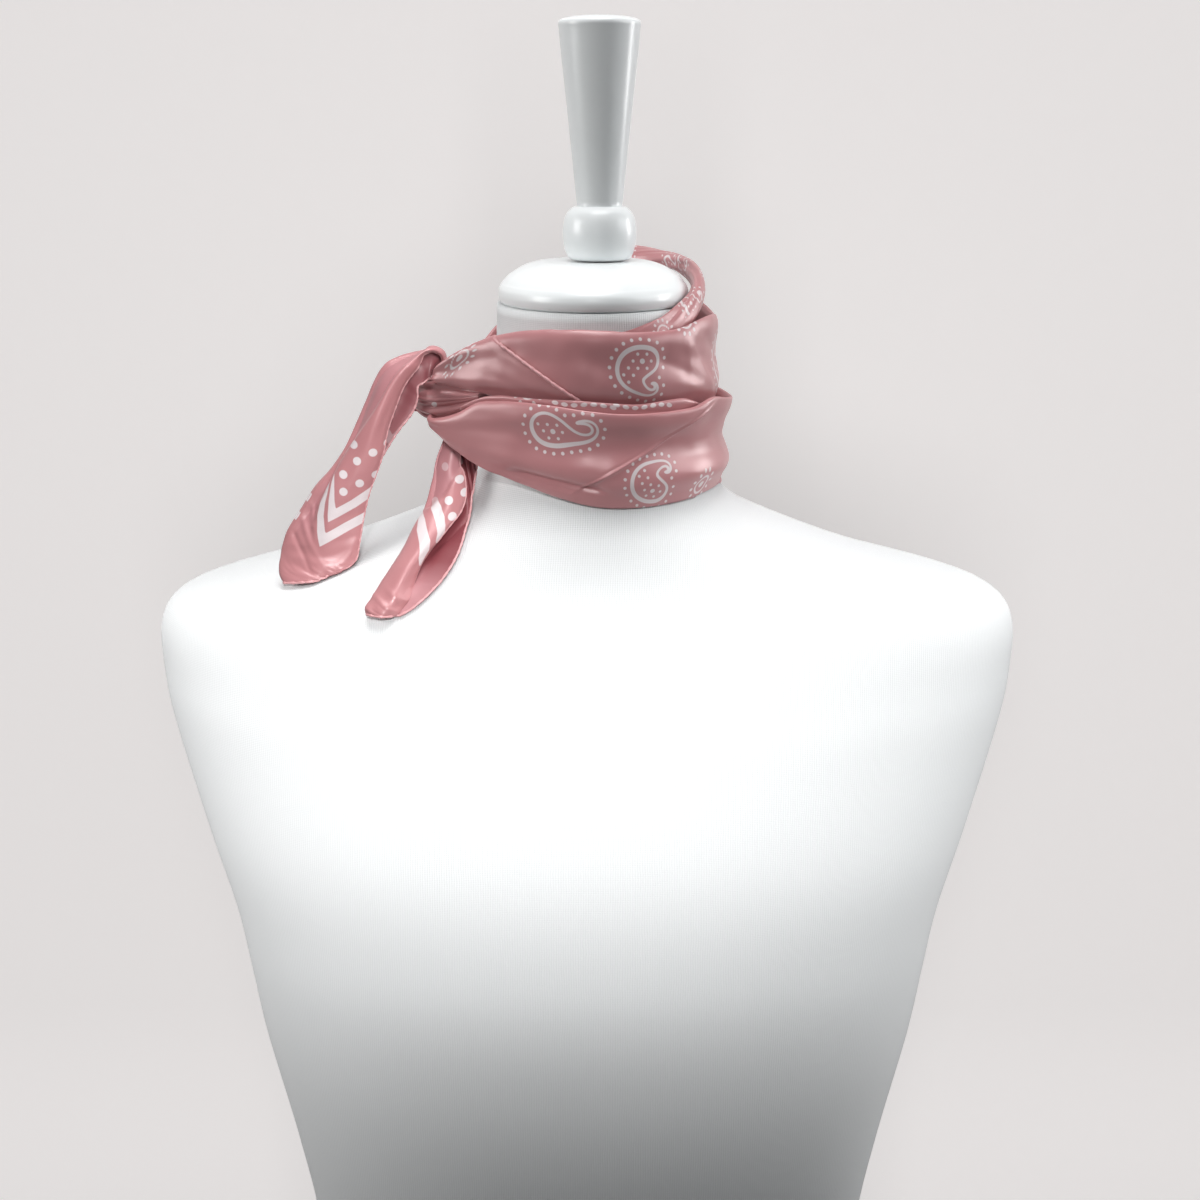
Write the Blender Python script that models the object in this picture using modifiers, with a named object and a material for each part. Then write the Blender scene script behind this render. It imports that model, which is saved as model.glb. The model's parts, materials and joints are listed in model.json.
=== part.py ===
"""Silk square scarf knotted round the neck of a limbless display torso.

The torso is a smooth, cloth covered body with a turned cap and finial on its neck.  The square
is folded on its diagonal into a soft band, taken once round the neck, twisted to a strand at the
nape, and tied at the wearer's right, where its two ends hang as half open channels.

Millimetres are used throughout and turned to metres where a mesh is made.  The origin is the middle
of the flat underside, +Z is up and the chest faces -Y.
"""

import math
from collections import namedtuple

import bmesh
import bpy
import numpy as np

# ---------------------------------------------------------------- driving dimensions, mm
MM = 0.001
NECK_TOP_Z = 679.6  # where the cap sits on the neck
NECK_X = 3.0  # the neck stands a little to the wearer's left of the base's middle
NECK_HALF_WIDTH = 45.0  # the ellipse that the scarf's own distances are counted from
NECK_HALF_DEPTH = 54.0
CLOTH_WALL = 1.2  # layers of folded silk, made as one wall
SEAM_GAP = 0.3
CAP_THICKNESS = 18.3
CAP_HALF_WIDTH = 43.0
CAP_HALF_DEPTH = 54.0
BALL_HEIGHT = 24.0
CONE_FOOT_RADIUS = 10.3
CONE_TOP_RADIUS = 18.2
CONE_HEIGHT = 78.6
TORSO_RINGS = 34
TORSO_SIDES = 36
TURNED_STEPS = 28

BALL_OUTLINE = [
    (11.2, 0.1),
    (13.4, 1.2),
    (15.2, 3.4),
    (16.2, 6.6),
    (16.6, 10.6),
    (16.4, 14.4),
    (15.8, 18.0),
    (15.2, 21.2),
    (15.0, 23.6),
    (14.7, BALL_HEIGHT),
]

Colour = namedtuple("Colour", "name red green blue roughness")
JERSEY_WHITE = Colour("jersey_white", 0.86, 0.87, 0.87, 0.85)
PAINTED_WOOD = Colour("painted_wood", 0.84, 0.88, 0.89, 0.30)
ROSE_SILK = Colour("rose_silk", 0.72, 0.36, 0.37, 0.38)

# ---------------------------------------------------------------- the torso's sections
# half width, depth in front of and behind the middle, how square the section is, and how far its
# middle stands from the middle of the base
Section = namedtuple("Section", "z half_width front back squareness shift")
TORSO_SECTIONS = [
    Section(0, 158, 100, 112, 2.3, 0),
    Section(50, 153, 97, 108, 2.3, 0),
    Section(100, 141, 91, 99, 2.3, 0),
    Section(160, 131, 85, 89, 2.3, 0),
    Section(226, 137, 90, 89, 2.35, 0),
    Section(278, 146, 99, 92, 2.4, 0),
    Section(333, 158, 110, 97, 2.4, 0),
    Section(370, 164, 116, 101, 2.4, 0),
    Section(400, 169.5, 117, 104, 2.4, 0),
    Section(440, 181, 114, 106, 2.4, 0),
    Section(491, 195, 104, 107, 2.35, 0),
    Section(515, 199, 97, 105, 2.3, 0),
    Section(533, 199.5, 90, 102, 2.25, 0),
    Section(545, 193, 84, 98, 2.2, 0),
    Section(553, 174, 79, 94, 2.15, 0.2),
    Section(564, 131, 73, 90, 2.1, 0.8),
    Section(579, 89, 66, 84, 2.0, 1.8),
    Section(590, 66, 61, 76, 2.0, 2.4),
    Section(606, 52, 57, 65, 2.0, 2.9),
    Section(630, 46, 54.5, 57.5, 2.0, NECK_X),
    Section(660, 44.2, 53.5, 54, 2.0, NECK_X),
    Section(NECK_TOP_Z, 43.6, 53.4, 53.4, 2.0, NECK_X),
]

# ---------------------------------------------------------------- the wraps round the neck
# phi goes round the neck in degrees: 0 at the throat, 90 at the wearer's left, 180 at the nape.
# z_top and z_low are the two folded edges; the outs are distances from the neck's ellipse.
Wrap = namedtuple("Wrap", "phi z_top z_low out_top out_waist out_belly out_low")
UPPER_WRAP = [
    Wrap(-70.5, 650.4, 647.4, 31.8, 32.2, 32.2, 31.6),
    Wrap(-68, 653.6, 646.9, 28.4, 29.2, 29.2, 28.2),
    Wrap(-65, 656.6, 646.5, 24.6, 25.8, 25.8, 24.6),
    Wrap(-62, 659.6, 646.0, 21.2, 22.6, 22.6, 21.4),
    Wrap(-57, 663.4, 645.0, 16.8, 18.8, 19.2, 17.8),
    Wrap(-50, 667.8, 643.6, 12.2, 15.0, 15.4, 12.8),
    Wrap(-40, 671.5, 641.7, 8.0, 11.3, 11.8, 8.6),
    Wrap(-28, 673.0, 640.5, 5.0, 8.5, 9.3, 5.6),
    Wrap(-10, 673.6, 639.0, 4.0, 7.3, 8.0, 4.4),
    Wrap(8, 673.1, 637.6, 4.2, 7.2, 8.0, 4.2),
    Wrap(27, 672.2, 637.2, 5.8, 7.8, 8.6, 4.9),
    Wrap(45, 672.6, 636.8, 7.2, 8.6, 9.6, 6.4),
    Wrap(62, 675.8, 635.5, 9.2, 9.6, 11.2, 8.6),
    Wrap(76, 676.0, 634.5, 10.2, 9.8, 12.0, 10.0),
    Wrap(92, 674.5, 634.0, 10.0, 10.0, 12.0, 10.0),
    Wrap(115, 679.0, 635.5, 8.4, 9.4, 11.0, 9.2),
    Wrap(145, 684.5, 637.5, 6.0, 8.4, 9.6, 8.0),
    Wrap(180, 682.0, 639.0, 5.2, 7.8, 9.0, 7.4),
    Wrap(212, 674.5, 640.5, 6.0, 8.2, 9.2, 7.6),
    Wrap(230, 669.6, 642.0, 7.6, 9.2, 9.8, 8.2),
    Wrap(240, 665.8, 642.6, 8.0, 9.8, 10.4, 8.8),
    Wrap(248, 661.2, 643.2, 8.8, 10.8, 11.4, 9.8),
    Wrap(259, 655.4, 643.8, 11.2, 12.8, 13.4, 12.2),
    Wrap(269, 651.4, 644.4, 15.5, 16.6, 17.0, 16.2),
]
LOWER_WRAP = [
    Wrap(-73, 634.0, 630.0, 34.8, 35.2, 35.2, 34.4),
    Wrap(-69, 631.5, 626.0, 32.0, 32.6, 32.6, 31.4),
    Wrap(-64.6, 632.5, 620.8, 28.8, 29.4, 29.4, 27.8),
    Wrap(-58, 636.0, 615.6, 24.0, 24.6, 24.8, 22.6),
    Wrap(-51, 641.0, 611.5, 19.6, 20.4, 20.8, 18.2),
    Wrap(-42, 642.3, 608.5, 15.6, 16.0, 16.8, 13.8),
    Wrap(-32, 642.6, 605.5, 13.2, 13.0, 13.8, 10.8),
    Wrap(-18, 642.0, 601.5, 11.8, 10.8, 11.8, 8.6),
    Wrap(0, 639.8, 597.5, 11.6, 9.8, 11.4, 7.6),
    Wrap(20, 638.1, 596.2, 11.8, 9.8, 11.8, 8.2),
    Wrap(36, 638.1, 596.6, 12.8, 10.6, 13.0, 9.8),
    Wrap(49, 638.6, 597.4, 14.4, 11.6, 14.4, 11.4),
    Wrap(60, 641.6, 598.5, 16.2, 12.4, 15.6, 12.6),
    Wrap(72, 639.8, 598.8, 18.2, 13.2, 16.6, 13.4),
    Wrap(90, 637.6, 598.6, 18.2, 13.4, 17.0, 13.6),
    Wrap(112, 638.5, 600.0, 15.8, 13.0, 16.2, 13.2),
    Wrap(145, 642.0, 603.5, 12.8, 12.2, 14.6, 11.6),
    Wrap(180, 644.0, 606.5, 11.8, 11.6, 13.6, 10.6),
    Wrap(215, 644.0, 609.5, 12.0, 12.0, 13.6, 10.8),
    Wrap(240, 643.5, 613.5, 13.0, 13.8, 14.6, 12.2),
    Wrap(258, 643.0, 619.0, 16.0, 17.0, 17.4, 15.2),
    Wrap(269, 642.5, 626.0, 20.4, 21.2, 21.4, 20.0),
]
MIDDLE_FOLD = [
    Wrap(-62, 639.0, 635.4, 22.6, 22.8, 22.6, 22.3),
    Wrap(-57, 642.0, 638.0, 19.0, 19.3, 19.0, 18.6),
    Wrap(-52, 643.6, 638.0, 15.9, 16.3, 15.9, 15.5),
    Wrap(-44, 644.2, 636.0, 12.4, 12.7, 12.4, 12.0),
    Wrap(-34, 644.0, 635.5, 10.0, 10.2, 9.9, 9.4),
    Wrap(-22, 644.2, 635.5, 8.6, 8.9, 8.5, 8.0),
    Wrap(-8, 644.0, 634.0, 7.9, 8.1, 7.8, 7.4),
    Wrap(10, 642.6, 632.0, 7.8, 8.1, 7.7, 7.3),
    Wrap(24, 641.8, 631.5, 8.3, 8.6, 8.2, 7.8),
    Wrap(36, 642.6, 631.5, 9.1, 9.4, 9.0, 8.6),
    Wrap(47, 642.2, 632.0, 10.2, 10.6, 10.1, 9.7),
    Wrap(57, 639.0, 632.5, 11.6, 11.9, 11.6, 11.2),
]
# Largest folds of the two wraps: a soft step along a line in the band, the side to the left of the
# line, as it runs, standing out by height and falling back over reach.
Fold = namedtuple("Fold", "phi_1 z_1 phi_2 z_2 height blend reach")
UPPER_FOLDS = [
    Fold(-14, 646.0, -57, 671.0, 1.0, 1.8, 30.0),
    Fold(74, 640.0, 50, 668.0, 0.7, 3.5, 10.0),
    Fold(118, 642.0, 150, 672.0, 0.9, 3.5, 14.0),
    Fold(196, 646.0, 232, 664.0, 0.8, 3.5, 14.0),
]
LOWER_FOLDS = [
    Fold(-6, 603.0, 62, 636.0, 1.5, 1.8, 22.0),
    Fold(-38, 611.0, -10, 603.0, 1.2, 1.8, 12.0),
    Fold(104, 606.0, 142, 634.0, 0.9, 3.5, 14.0),
    Fold(186, 612.0, 222, 636.0, 0.9, 3.5, 14.0),
]

# ---------------------------------------------------------------- the twisted strand at the nape
Strand = namedtuple("Strand", "phi out z half_thick half_tall lean")
TWISTED_STRAND = [
    Strand(12, 1.5, 666.4, 0.5, 4.6, 0),
    Strand(24, 1.6, 668.0, 0.7, 5.0, 2),
    Strand(34, 1.8, 670.0, 1.0, 5.4, 4),
    Strand(45, 2.0, 672.2, 1.5, 6.2, 8),
    Strand(56, 2.2, 676.0, 2.0, 6.4, 12),
    Strand(67, 2.6, 680.4, 2.6, 6.2, 12),
    Strand(80, 2.6, 685.0, 2.9, 5.4, 10),
    Strand(98, 2.4, 689.6, 3.0, 4.8, 6),
    Strand(118, 3.0, 693.6, 3.5, 4.4, 4),
    Strand(140, 4.6, 696.2, 4.2, 4.4, 0),
    Strand(162, 5.8, 696.2, 4.6, 4.4, -4),
    Strand(184, 5.8, 691.8, 4.4, 4.2, -8),
    Strand(204, 5.2, 685.6, 4.0, 4.0, -8),
    Strand(220, 3.6, 679.2, 2.8, 4.2, -6),
    Strand(234, 2.2, 672.2, 1.7, 4.2, -2),
    Strand(246, 2.0, 665.4, 1.5, 3.4, 0),
]
STRAND_TURNS = 3.5
STRAND_RIDGE = 0.16  # the twist's ridges as a share of the strand's thickness
STRAND_SIDES = 10

# ---------------------------------------------------------------- the two hanging ends
# Each end is a channel.  x, y, z is its closed outer bend; lean is the way its front wall runs,
# in degrees in the XZ plane, and front its width; back_lean and back are the same behind; depth is
# how far the two walls part; rise is how far the front wall swells towards -Y.
Channel = namedtuple("Channel", "x y z lean front back_lean back depth rise")
LONG_END = [
    Channel(-67.0, -15.0, 649.0, -176, 2.0, -176, 4.0, 3.0, 0.4),
    Channel(-65.8, -17.5, 654.0, -168, 2.0, -166, 5.0, 3.2, 0.6),
    Channel(-66.2, -19.5, 659.4, -136, 2.2, -136, 6.0, 4.0, 0.8),
    Channel(-70.4, -21.5, 662.4, -100, 2.4, -108, 9.5, 5.2, 1.2),
    Channel(-75.6, -22.5, 662.2, -72, 3.2, -80, 12.5, 6.2, 1.6),
    Channel(-81.6, -23.0, 660.2, -40, 5.0, -58, 15.0, 6.8, 2.2),
    Channel(-87.4, -24.0, 657.8, -26, 8.4, -46, 16.0, 7.2, 2.8),
    Channel(-92.6, -25.0, 654.6, -22, 10.8, -36, 16.6, 7.4, 3.2),
    Channel(-97.6, -26.0, 648.0, -16, 12.4, -25, 20.6, 7.6, 3.4),
    Channel(-101.7, -27.0, 638.3, -10, 13.4, -15, 21.2, 7.6, 3.6),
    Channel(-106.2, -28.5, 627.5, -8, 15.0, -6, 19.4, 7.4, 3.6),
    Channel(-110.7, -30.0, 618.0, -6, 17.4, -2, 18.4, 7.0, 3.6),
    Channel(-117.0, -31.5, 609.0, -6, 20.4, -2, 19.4, 6.6, 3.6),
    Channel(-124.3, -33.0, 601.0, -8, 24.4, -6, 22.0, 6.2, 3.4),
    Channel(-131.0, -34.5, 591.0, -8, 28.6, -7, 26.0, 5.4, 3.2),
    Channel(-137.4, -36.5, 580.7, -6, 33.0, -5, 30.5, 4.4, 3.0),
    Channel(-140.0, -38.5, 571.6, -3, 34.2, -2, 32.5, 3.4, 2.6),
    Channel(-140.4, -41.8, 563.7, 2, 30.8, 2, 30.0, 3.0, 2.0),
    Channel(-138.3, -44.3, 559.6, 5, 21.5, 5, 21.0, 2.8, 1.2),
]
SHORT_END = [
    Channel(-62.5, -25.5, 631.0, 0, 6.0, -6, 10.0, 3.0, 0.8),
    Channel(-67.5, -28.0, 622.0, 0, 9.0, -12, 15.5, 3.8, 1.4),
    Channel(-71.0, -31.0, 613.0, -4, 10.8, -10, 19.0, 4.4, 2.0),
    Channel(-71.6, -34.0, 605.5, -6, 10.4, -8, 18.6, 4.8, 2.4),
    Channel(-73.0, -37.0, 599.0, -6, 9.4, -4, 18.8, 5.2, 2.8),
    Channel(-75.2, -40.5, 592.2, -3, 8.8, -2, 20.4, 5.6, 3.0),
    Channel(-78.6, -45.7, 586.2, 0, 8.4, 0, 23.0, 6.0, 3.2),
    Channel(-83.2, -52.8, 577.0, 2, 8.4, 4, 26.2, 6.2, 3.2),
    Channel(-87.6, -58.8, 570.4, 4, 9.8, 5, 28.2, 6.0, 3.0),
    Channel(-92.9, -63.9, 564.1, 3, 12.3, 4, 28.6, 5.2, 2.8),
    Channel(-97.0, -68.8, 558.8, 2, 13.5, 3, 26.2, 4.2, 2.4),
    Channel(-99.9, -72.4, 555.4, -2, 13.9, -1, 22.2, 3.4, 2.0),
    Channel(-99.1, -74.4, 553.0, -4, 11.9, -4, 14.9, 2.8, 1.2),
]

# ---------------------------------------------------------------- the knot's two turns
# A turn is a pleated strip: the line of its middle, its height, and how far its top leans out.
Turn = namedtuple("Turn", "x y z height bow")
KNOT_FRONT = [
    Turn(-50.0, -34.6, 643.0, 5.0, 0.6),
    Turn(-56.6, -32.6, 641.6, 9.0, 1.2),
    Turn(-63.6, -29.6, 640.8, 13.0, 2.0),
    Turn(-69.6, -26.4, 639.8, 15.2, 2.6),
    Turn(-74.0, -22.6, 639.2, 14.4, 3.0),
    Turn(-76.4, -18.0, 639.2, 12.4, 2.4),
]
KNOT_BACK = [
    Turn(-79.6, -11.6, 639.2, 12.4, 2.2),
    Turn(-78.6, -6.0, 639.2, 15.0, 2.6),
    Turn(-74.6, -1.0, 639.0, 17.0, 2.8),
    Turn(-69.2, 4.2, 638.8, 18.4, 2.8),
    Turn(-64.9, 12.0, 638.8, 19.4, 2.2),
    Turn(-61.8, 21.0, 638.8, 20.0, 1.6),
]
PLEATS = 3
PLEAT_HEIGHT = 0.7


# ---------------------------------------------------------------- curves through tables
def through(keys, values, queries):
    """Smooth curve through the rows of values at keys, read at queries."""
    keys = np.asarray(keys, float)
    values = np.asarray(values, float)
    slopes = np.gradient(values, keys, axis=0)
    place = np.clip(np.searchsorted(keys, queries, side="right") - 1, 0, len(keys) - 2)
    span = keys[place + 1] - keys[place]
    t = ((queries - keys[place]) / span)[:, None]
    span = span[:, None]
    first, last = values[place], values[place + 1]
    rise_in, rise_out = slopes[place] * span, slopes[place + 1] * span
    return (
        first * (2 * t**3 - 3 * t**2 + 1)
        + rise_in * (t**3 - 2 * t**2 + t)
        + last * (3 * t**2 - 2 * t**3)
        + rise_out * (t**3 - t**2)
    )


def along(points, count):
    """Count points at even steps of the row number along a smooth curve through points."""
    points = np.asarray(points, float)
    return through(np.arange(len(points)), points, np.linspace(0, len(points) - 1, count))


def even_steps(points, count):
    """Count points at even distances along a smooth curve through points."""
    fine = along(points, 40 * len(points))
    walked = np.r_[0, np.cumsum(np.linalg.norm(np.diff(fine, axis=0), axis=1))]
    wanted = np.linspace(0, walked[-1], count)
    return np.stack([np.interp(wanted, walked, fine[:, i]) for i in range(fine.shape[1])], axis=1)


# ---------------------------------------------------------------- meshes
def material(colour):
    made = bpy.data.materials.get(colour.name)
    if made is None:
        made = bpy.data.materials.new(colour.name)
        made.use_nodes = True
        shader = made.node_tree.nodes["Principled BSDF"]
        shader.inputs["Base Color"].default_value = (colour.red, colour.green, colour.blue, 1)
        shader.inputs["Roughness"].default_value = colour.roughness
        shader.inputs["Metallic"].default_value = 0.0
    return made


def place_mesh(name, mesh, colour, collection):
    node = bpy.data.objects.new(name, mesh)
    collection.objects.link(node)
    mesh.materials.append(material(colour))
    mesh.shade_smooth()
    return node


def lofted(name, rings, ends_closed, around_closed, colour, collection):
    """Mesh through rings of points, in mm; a closed loft gets a flat cap of faces on each end."""
    rings = np.asarray(rings) * MM
    steps, sides = rings.shape[:2]
    work = bmesh.new()
    verts = [[work.verts.new(p) for p in ring] for ring in rings]
    turns = sides if around_closed else sides - 1
    for i in range(steps - 1):
        for j in range(turns):
            k = (j + 1) % sides
            work.faces.new((verts[i][j], verts[i][k], verts[i + 1][k], verts[i + 1][j]))
    if ends_closed:
        work.faces.new(verts[0][::-1])
        work.faces.new(verts[-1])
    bmesh.ops.recalc_face_normals(work, faces=work.faces)
    mesh = bpy.data.meshes.new(name)
    work.to_mesh(mesh)
    work.free()
    return place_mesh(name, mesh, colour, collection)


def cloth(name, grid, colour, collection, wall=CLOTH_WALL):
    """Open surface given the thickness of the folded cloth."""
    node = lofted(name, grid, False, False, colour, collection)
    shell = node.modifiers.new("cloth wall", "SOLIDIFY")
    shell.thickness = wall * MM
    shell.offset = 0.0
    shell.use_rim = True
    return node


def turned(name, profile, colour, collection):
    """Solid of revolution about +Z from a profile that runs down its outer side."""
    mesh = bpy.data.meshes.new(name)
    points = [(x * MM, 0, z * MM) for x, z in profile]
    mesh.from_pydata(points, [(i, i + 1) for i in range(len(points) - 1)], [])
    node = bpy.data.objects.new(name, mesh)
    collection.objects.link(node)
    mesh.materials.append(material(colour))
    screw = node.modifiers.new("turning", "SCREW")
    screw.axis = "Z"
    screw.steps = screw.render_steps = TURNED_STEPS
    screw.use_merge_vertices = True
    screw.merge_threshold = 0.00005
    screw.use_smooth_shade = True
    return node


# ---------------------------------------------------------------- the display torso
def section_ring(z, half_width, front, back, squareness, shift, sides):
    """Points of one level section, superelliptic, deeper behind than in front."""
    turn = np.linspace(0, 2 * math.pi, sides, endpoint=False)
    sine, cosine = np.sin(turn), np.cos(turn)
    power = 2.0 / squareness
    x = shift + half_width * np.sign(sine) * np.abs(sine) ** power
    depth = np.where(cosine > 0, front, back)
    y = -depth * np.sign(cosine) * np.abs(cosine) ** power
    return np.stack([x, y, np.full(sides, float(z))], axis=1)


def torso(collection):
    sections = even_steps_of_sections(TORSO_SECTIONS, TORSO_RINGS)
    rings = [section_ring(*row, TORSO_SIDES) for row in sections]
    return lofted("torso", rings, True, True, JERSEY_WHITE, collection)


def even_steps_of_sections(sections, count):
    """Sections at even distances along the side outline, so that the shoulder is well covered."""
    table = np.array(sections, float)
    fine = along(table, 60 * len(table))
    fine[:, 0] = np.maximum.accumulate(fine[:, 0])
    walked = np.r_[0, np.cumsum(np.linalg.norm(np.diff(fine[:, :2], axis=0), axis=1))]
    wanted = np.linspace(0, walked[-1], count)
    return np.stack([np.interp(wanted, walked, fine[:, i]) for i in range(6)], axis=1)


def form_reach(points):
    """Below 1 inside the torso, 1 on its surface, above 1 outside it."""
    table = np.array(TORSO_SECTIONS, float)
    z = points[..., 2]
    width, front, back, squareness, shift = (np.interp(z, table[:, 0], table[:, i]) for i in range(1, 6))
    depth = np.where(points[..., 1] < 0, front, back)
    across = np.abs((points[..., 0] - shift) / width) ** squareness
    return (across + np.abs(points[..., 1] / depth) ** squareness) ** (1 / squareness)


def form_out(z, phi):
    """How far the torso's surface stands out from the neck's ellipse at height z and angle phi."""
    low, high = np.full(np.shape(z), -20.0), np.full(np.shape(z), 200.0)
    for _ in range(30):
        middle = (low + high) / 2
        x, y = round_neck(phi, middle)
        inside = form_reach(np.stack([x, y, z], axis=-1)) < 1
        low, high = np.where(inside, middle, low), np.where(inside, high, middle)
    return high


def clear_of_form(points, clearance):
    """Points moved straight out of the torso until they stand clear of it."""
    points = np.array(points, float)
    step = 0.5
    for _ in range(8):
        here = form_reach(points)
        slope = np.stack(
            [(form_reach(points + step * axis) - form_reach(points - step * axis)) / (2 * step) for axis in np.eye(3)],
            axis=-1,
        )
        steepness = np.linalg.norm(slope, axis=-1)
        short = np.clip(clearance - (here - 1) / steepness, 0, 6.0)
        points += 0.8 * short[..., None] * slope / steepness[..., None]
    return points


def neck_cap(collection):
    """Domed elliptical disc that closes the neck."""
    foot = NECK_TOP_Z + SEAM_GAP
    outline = [
        (0.965, 0.0),
        (0.993, 0.08),
        (1.0, 0.22),
        (0.99, 0.36),
        (0.955, 0.50),
        (0.87, 0.70),
        (0.76, 0.86),
        (0.64, 0.96),
        (0.52, 1.0),
    ]
    rings = []
    for share, height in outline:
        z = foot + height * CAP_THICKNESS
        width, depth = share * CAP_HALF_WIDTH, share * CAP_HALF_DEPTH
        rings.append(section_ring(z, width, depth, depth, 2.0, NECK_X, TORSO_SIDES))
    return lofted("neck_cap", rings, True, True, PAINTED_WOOD, collection)


def finial(collection):
    """Ball and tall flared handle, turned from one piece of wood."""
    foot = NECK_TOP_Z + CAP_THICKNESS + 2 * SEAM_GAP
    ball_top = foot + BALL_HEIGHT
    cone_top = ball_top + CONE_HEIGHT
    dome = 3.0
    profile = [
        (0, cone_top + dome),
        (CONE_TOP_RADIUS * 0.62, cone_top + dome * 0.72),
        (CONE_TOP_RADIUS * 0.94, cone_top + dome * 0.2),
        (CONE_TOP_RADIUS, cone_top - 1.0),
        (CONE_TOP_RADIUS * 0.975, cone_top - 8.0),
        (CONE_FOOT_RADIUS, ball_top),
    ]
    profile += [(radius, ball_top - drop) for radius, drop in BALL_OUTLINE]
    profile.append((0, foot))
    node = turned("finial", profile, PAINTED_WOOD, collection)
    node.location.x = NECK_X * MM
    return node


# ---------------------------------------------------------------- the scarf's stretches
def round_neck(phi, out):
    """Point on the neck's ellipse grown by out, at angle phi."""
    turn = np.radians(phi)
    return NECK_X + (NECK_HALF_WIDTH + out) * np.sin(turn), -(NECK_HALF_DEPTH + out) * np.cos(turn)


def fold_relief(folds, phi, z):
    """How far the largest folds lift the cloth at each point of a band."""
    relief = np.zeros(np.shape(phi))
    girth = math.radians(1) * (NECK_HALF_WIDTH + NECK_HALF_DEPTH) / 2
    for fold in folds:
        run = np.array([(fold.phi_2 - fold.phi_1) * girth, fold.z_2 - fold.z_1])
        length = np.linalg.norm(run)
        run /= length
        across, up = (phi - fold.phi_1) * girth, z - fold.z_1
        share = (across * run[0] + up * run[1]) / length
        side = up * run[0] - across * run[1]
        step = fold.height / (1 + np.exp(-2.2 * side / fold.blend))
        step *= np.exp(-np.clip(side, 0, None) / fold.reach)
        step *= 1 / (1 + np.exp(-12 * share)) * 1 / (1 + np.exp(12 * (share - 1)))
        relief += step
    return relief


def band_grid(rows, stations, across, folds=(), lip=3.0, wall=CLOTH_WALL):
    """Grid of the middle surface of a folded band: stations round the neck, across from top to hem."""
    table = np.array(rows, float)
    read = through(table[:, 0], table[:, 1:], np.asarray(stations, float))
    grid = []
    for phi, (z_top, z_low, top, waist, belly, low) in zip(stations, read):
        height = z_top - z_low
        curl = min(lip, 0.28 * height)
        section = [
            (top - 0.8 * curl, z_top - 0.8 * curl),
            (top - 0.15 * curl, z_top - 0.05 * curl),
            (top * 0.6 + waist * 0.4 + 0.3 * curl, z_top - 0.12 * height),
            (waist, z_top - 0.40 * height),
            (belly, z_top - 0.71 * height),
            (low + 0.2 * (belly - low), z_low + 0.11 * height),
            (low - 0.4 * curl, z_low),
        ]
        out, z = even_steps(section, across).T
        phis = np.full(across, phi)
        out = out + fold_relief(folds, phis, z)
        out = np.maximum(out, form_out(z, phis) + 1.5 * SEAM_GAP + 0.85 * wall)
        x, y = round_neck(phis, out)
        grid.append(np.stack([x, y, z], axis=1))
    return np.array(grid)


def band_stations(first, last, fine, coarse):
    """Angles of a band's sections, close together in front and wider apart behind."""
    front_end = min(last, 96)
    front = np.arange(first, front_end, fine)
    behind = np.arange(front_end, last, coarse)
    return np.r_[front, behind, last]


def strand_rings():
    """Rings of the twisted strand, its section lobed and the lobes winding as it goes."""
    table = np.array(TWISTED_STRAND, float)
    phis = np.linspace(table[0, 0], table[-1, 0], 46)
    rings = []
    for phi, (out, z, thick, tall, lean) in zip(phis, through(table[:, 0], table[:, 1:], phis)):
        share = (phi - phis[0]) / (phis[-1] - phis[0])
        turn = np.linspace(0, 2 * math.pi, STRAND_SIDES, endpoint=False)
        lobe = 1 + STRAND_RIDGE * np.sin(2 * turn - 2 * math.pi * STRAND_TURNS * share)
        across, up = thick * lobe * np.cos(turn), tall * lobe * np.sin(turn)
        tilt = math.radians(lean)
        outs = out + across * math.cos(tilt) - up * math.sin(tilt)
        zs = z + across * math.sin(tilt) + up * math.cos(tilt)
        x, y = round_neck(phi, outs)
        rings.append(np.stack([x, y, zs], axis=1))
    return rings


def channel_grid(rows, stations, across):
    """Grid of an end's middle surface: each section runs back rim, closed bend, front rim."""
    grid = []
    for x, y, z, lean, front, back_lean, back, depth, rise in even_channel(rows, stations):
        bend = np.array([NECK_X + x, y, z])
        ahead = np.array([math.cos(math.radians(lean)), 0, math.sin(math.radians(lean))])
        behind = np.array([math.cos(math.radians(back_lean)), 0, math.sin(math.radians(back_lean))])
        near, far = np.array([0, -1.0, 0]), np.array([0, 1.0, 0])
        section = [
            bend + behind * back + far * 0.30 * depth,
            bend + behind * back * 0.55 + far * 0.62 * depth,
            bend + behind * back * 0.18 + far * 0.50 * depth,
            bend,
            bend + ahead * front * 0.18 + near * (0.50 * depth + 0.4 * rise),
            bend + ahead * front * 0.55 + near * (0.62 * depth + rise),
            bend + ahead * front + near * 0.40 * depth,
        ]
        grid.append(even_steps(section, across))
    return clear_of_form(grid, SEAM_GAP + CLOTH_WALL)


def even_channel(rows, count):
    """Channel rows at even distances along the bend."""
    table = np.array(rows, float)
    fine = along(table, 40 * len(table))
    walked = np.r_[0, np.cumsum(np.linalg.norm(np.diff(fine[:, :3], axis=0), axis=1))]
    wanted = np.linspace(0, walked[-1], count)
    return np.stack([np.interp(wanted, walked, fine[:, i]) for i in range(table.shape[1])], axis=1)


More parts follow.
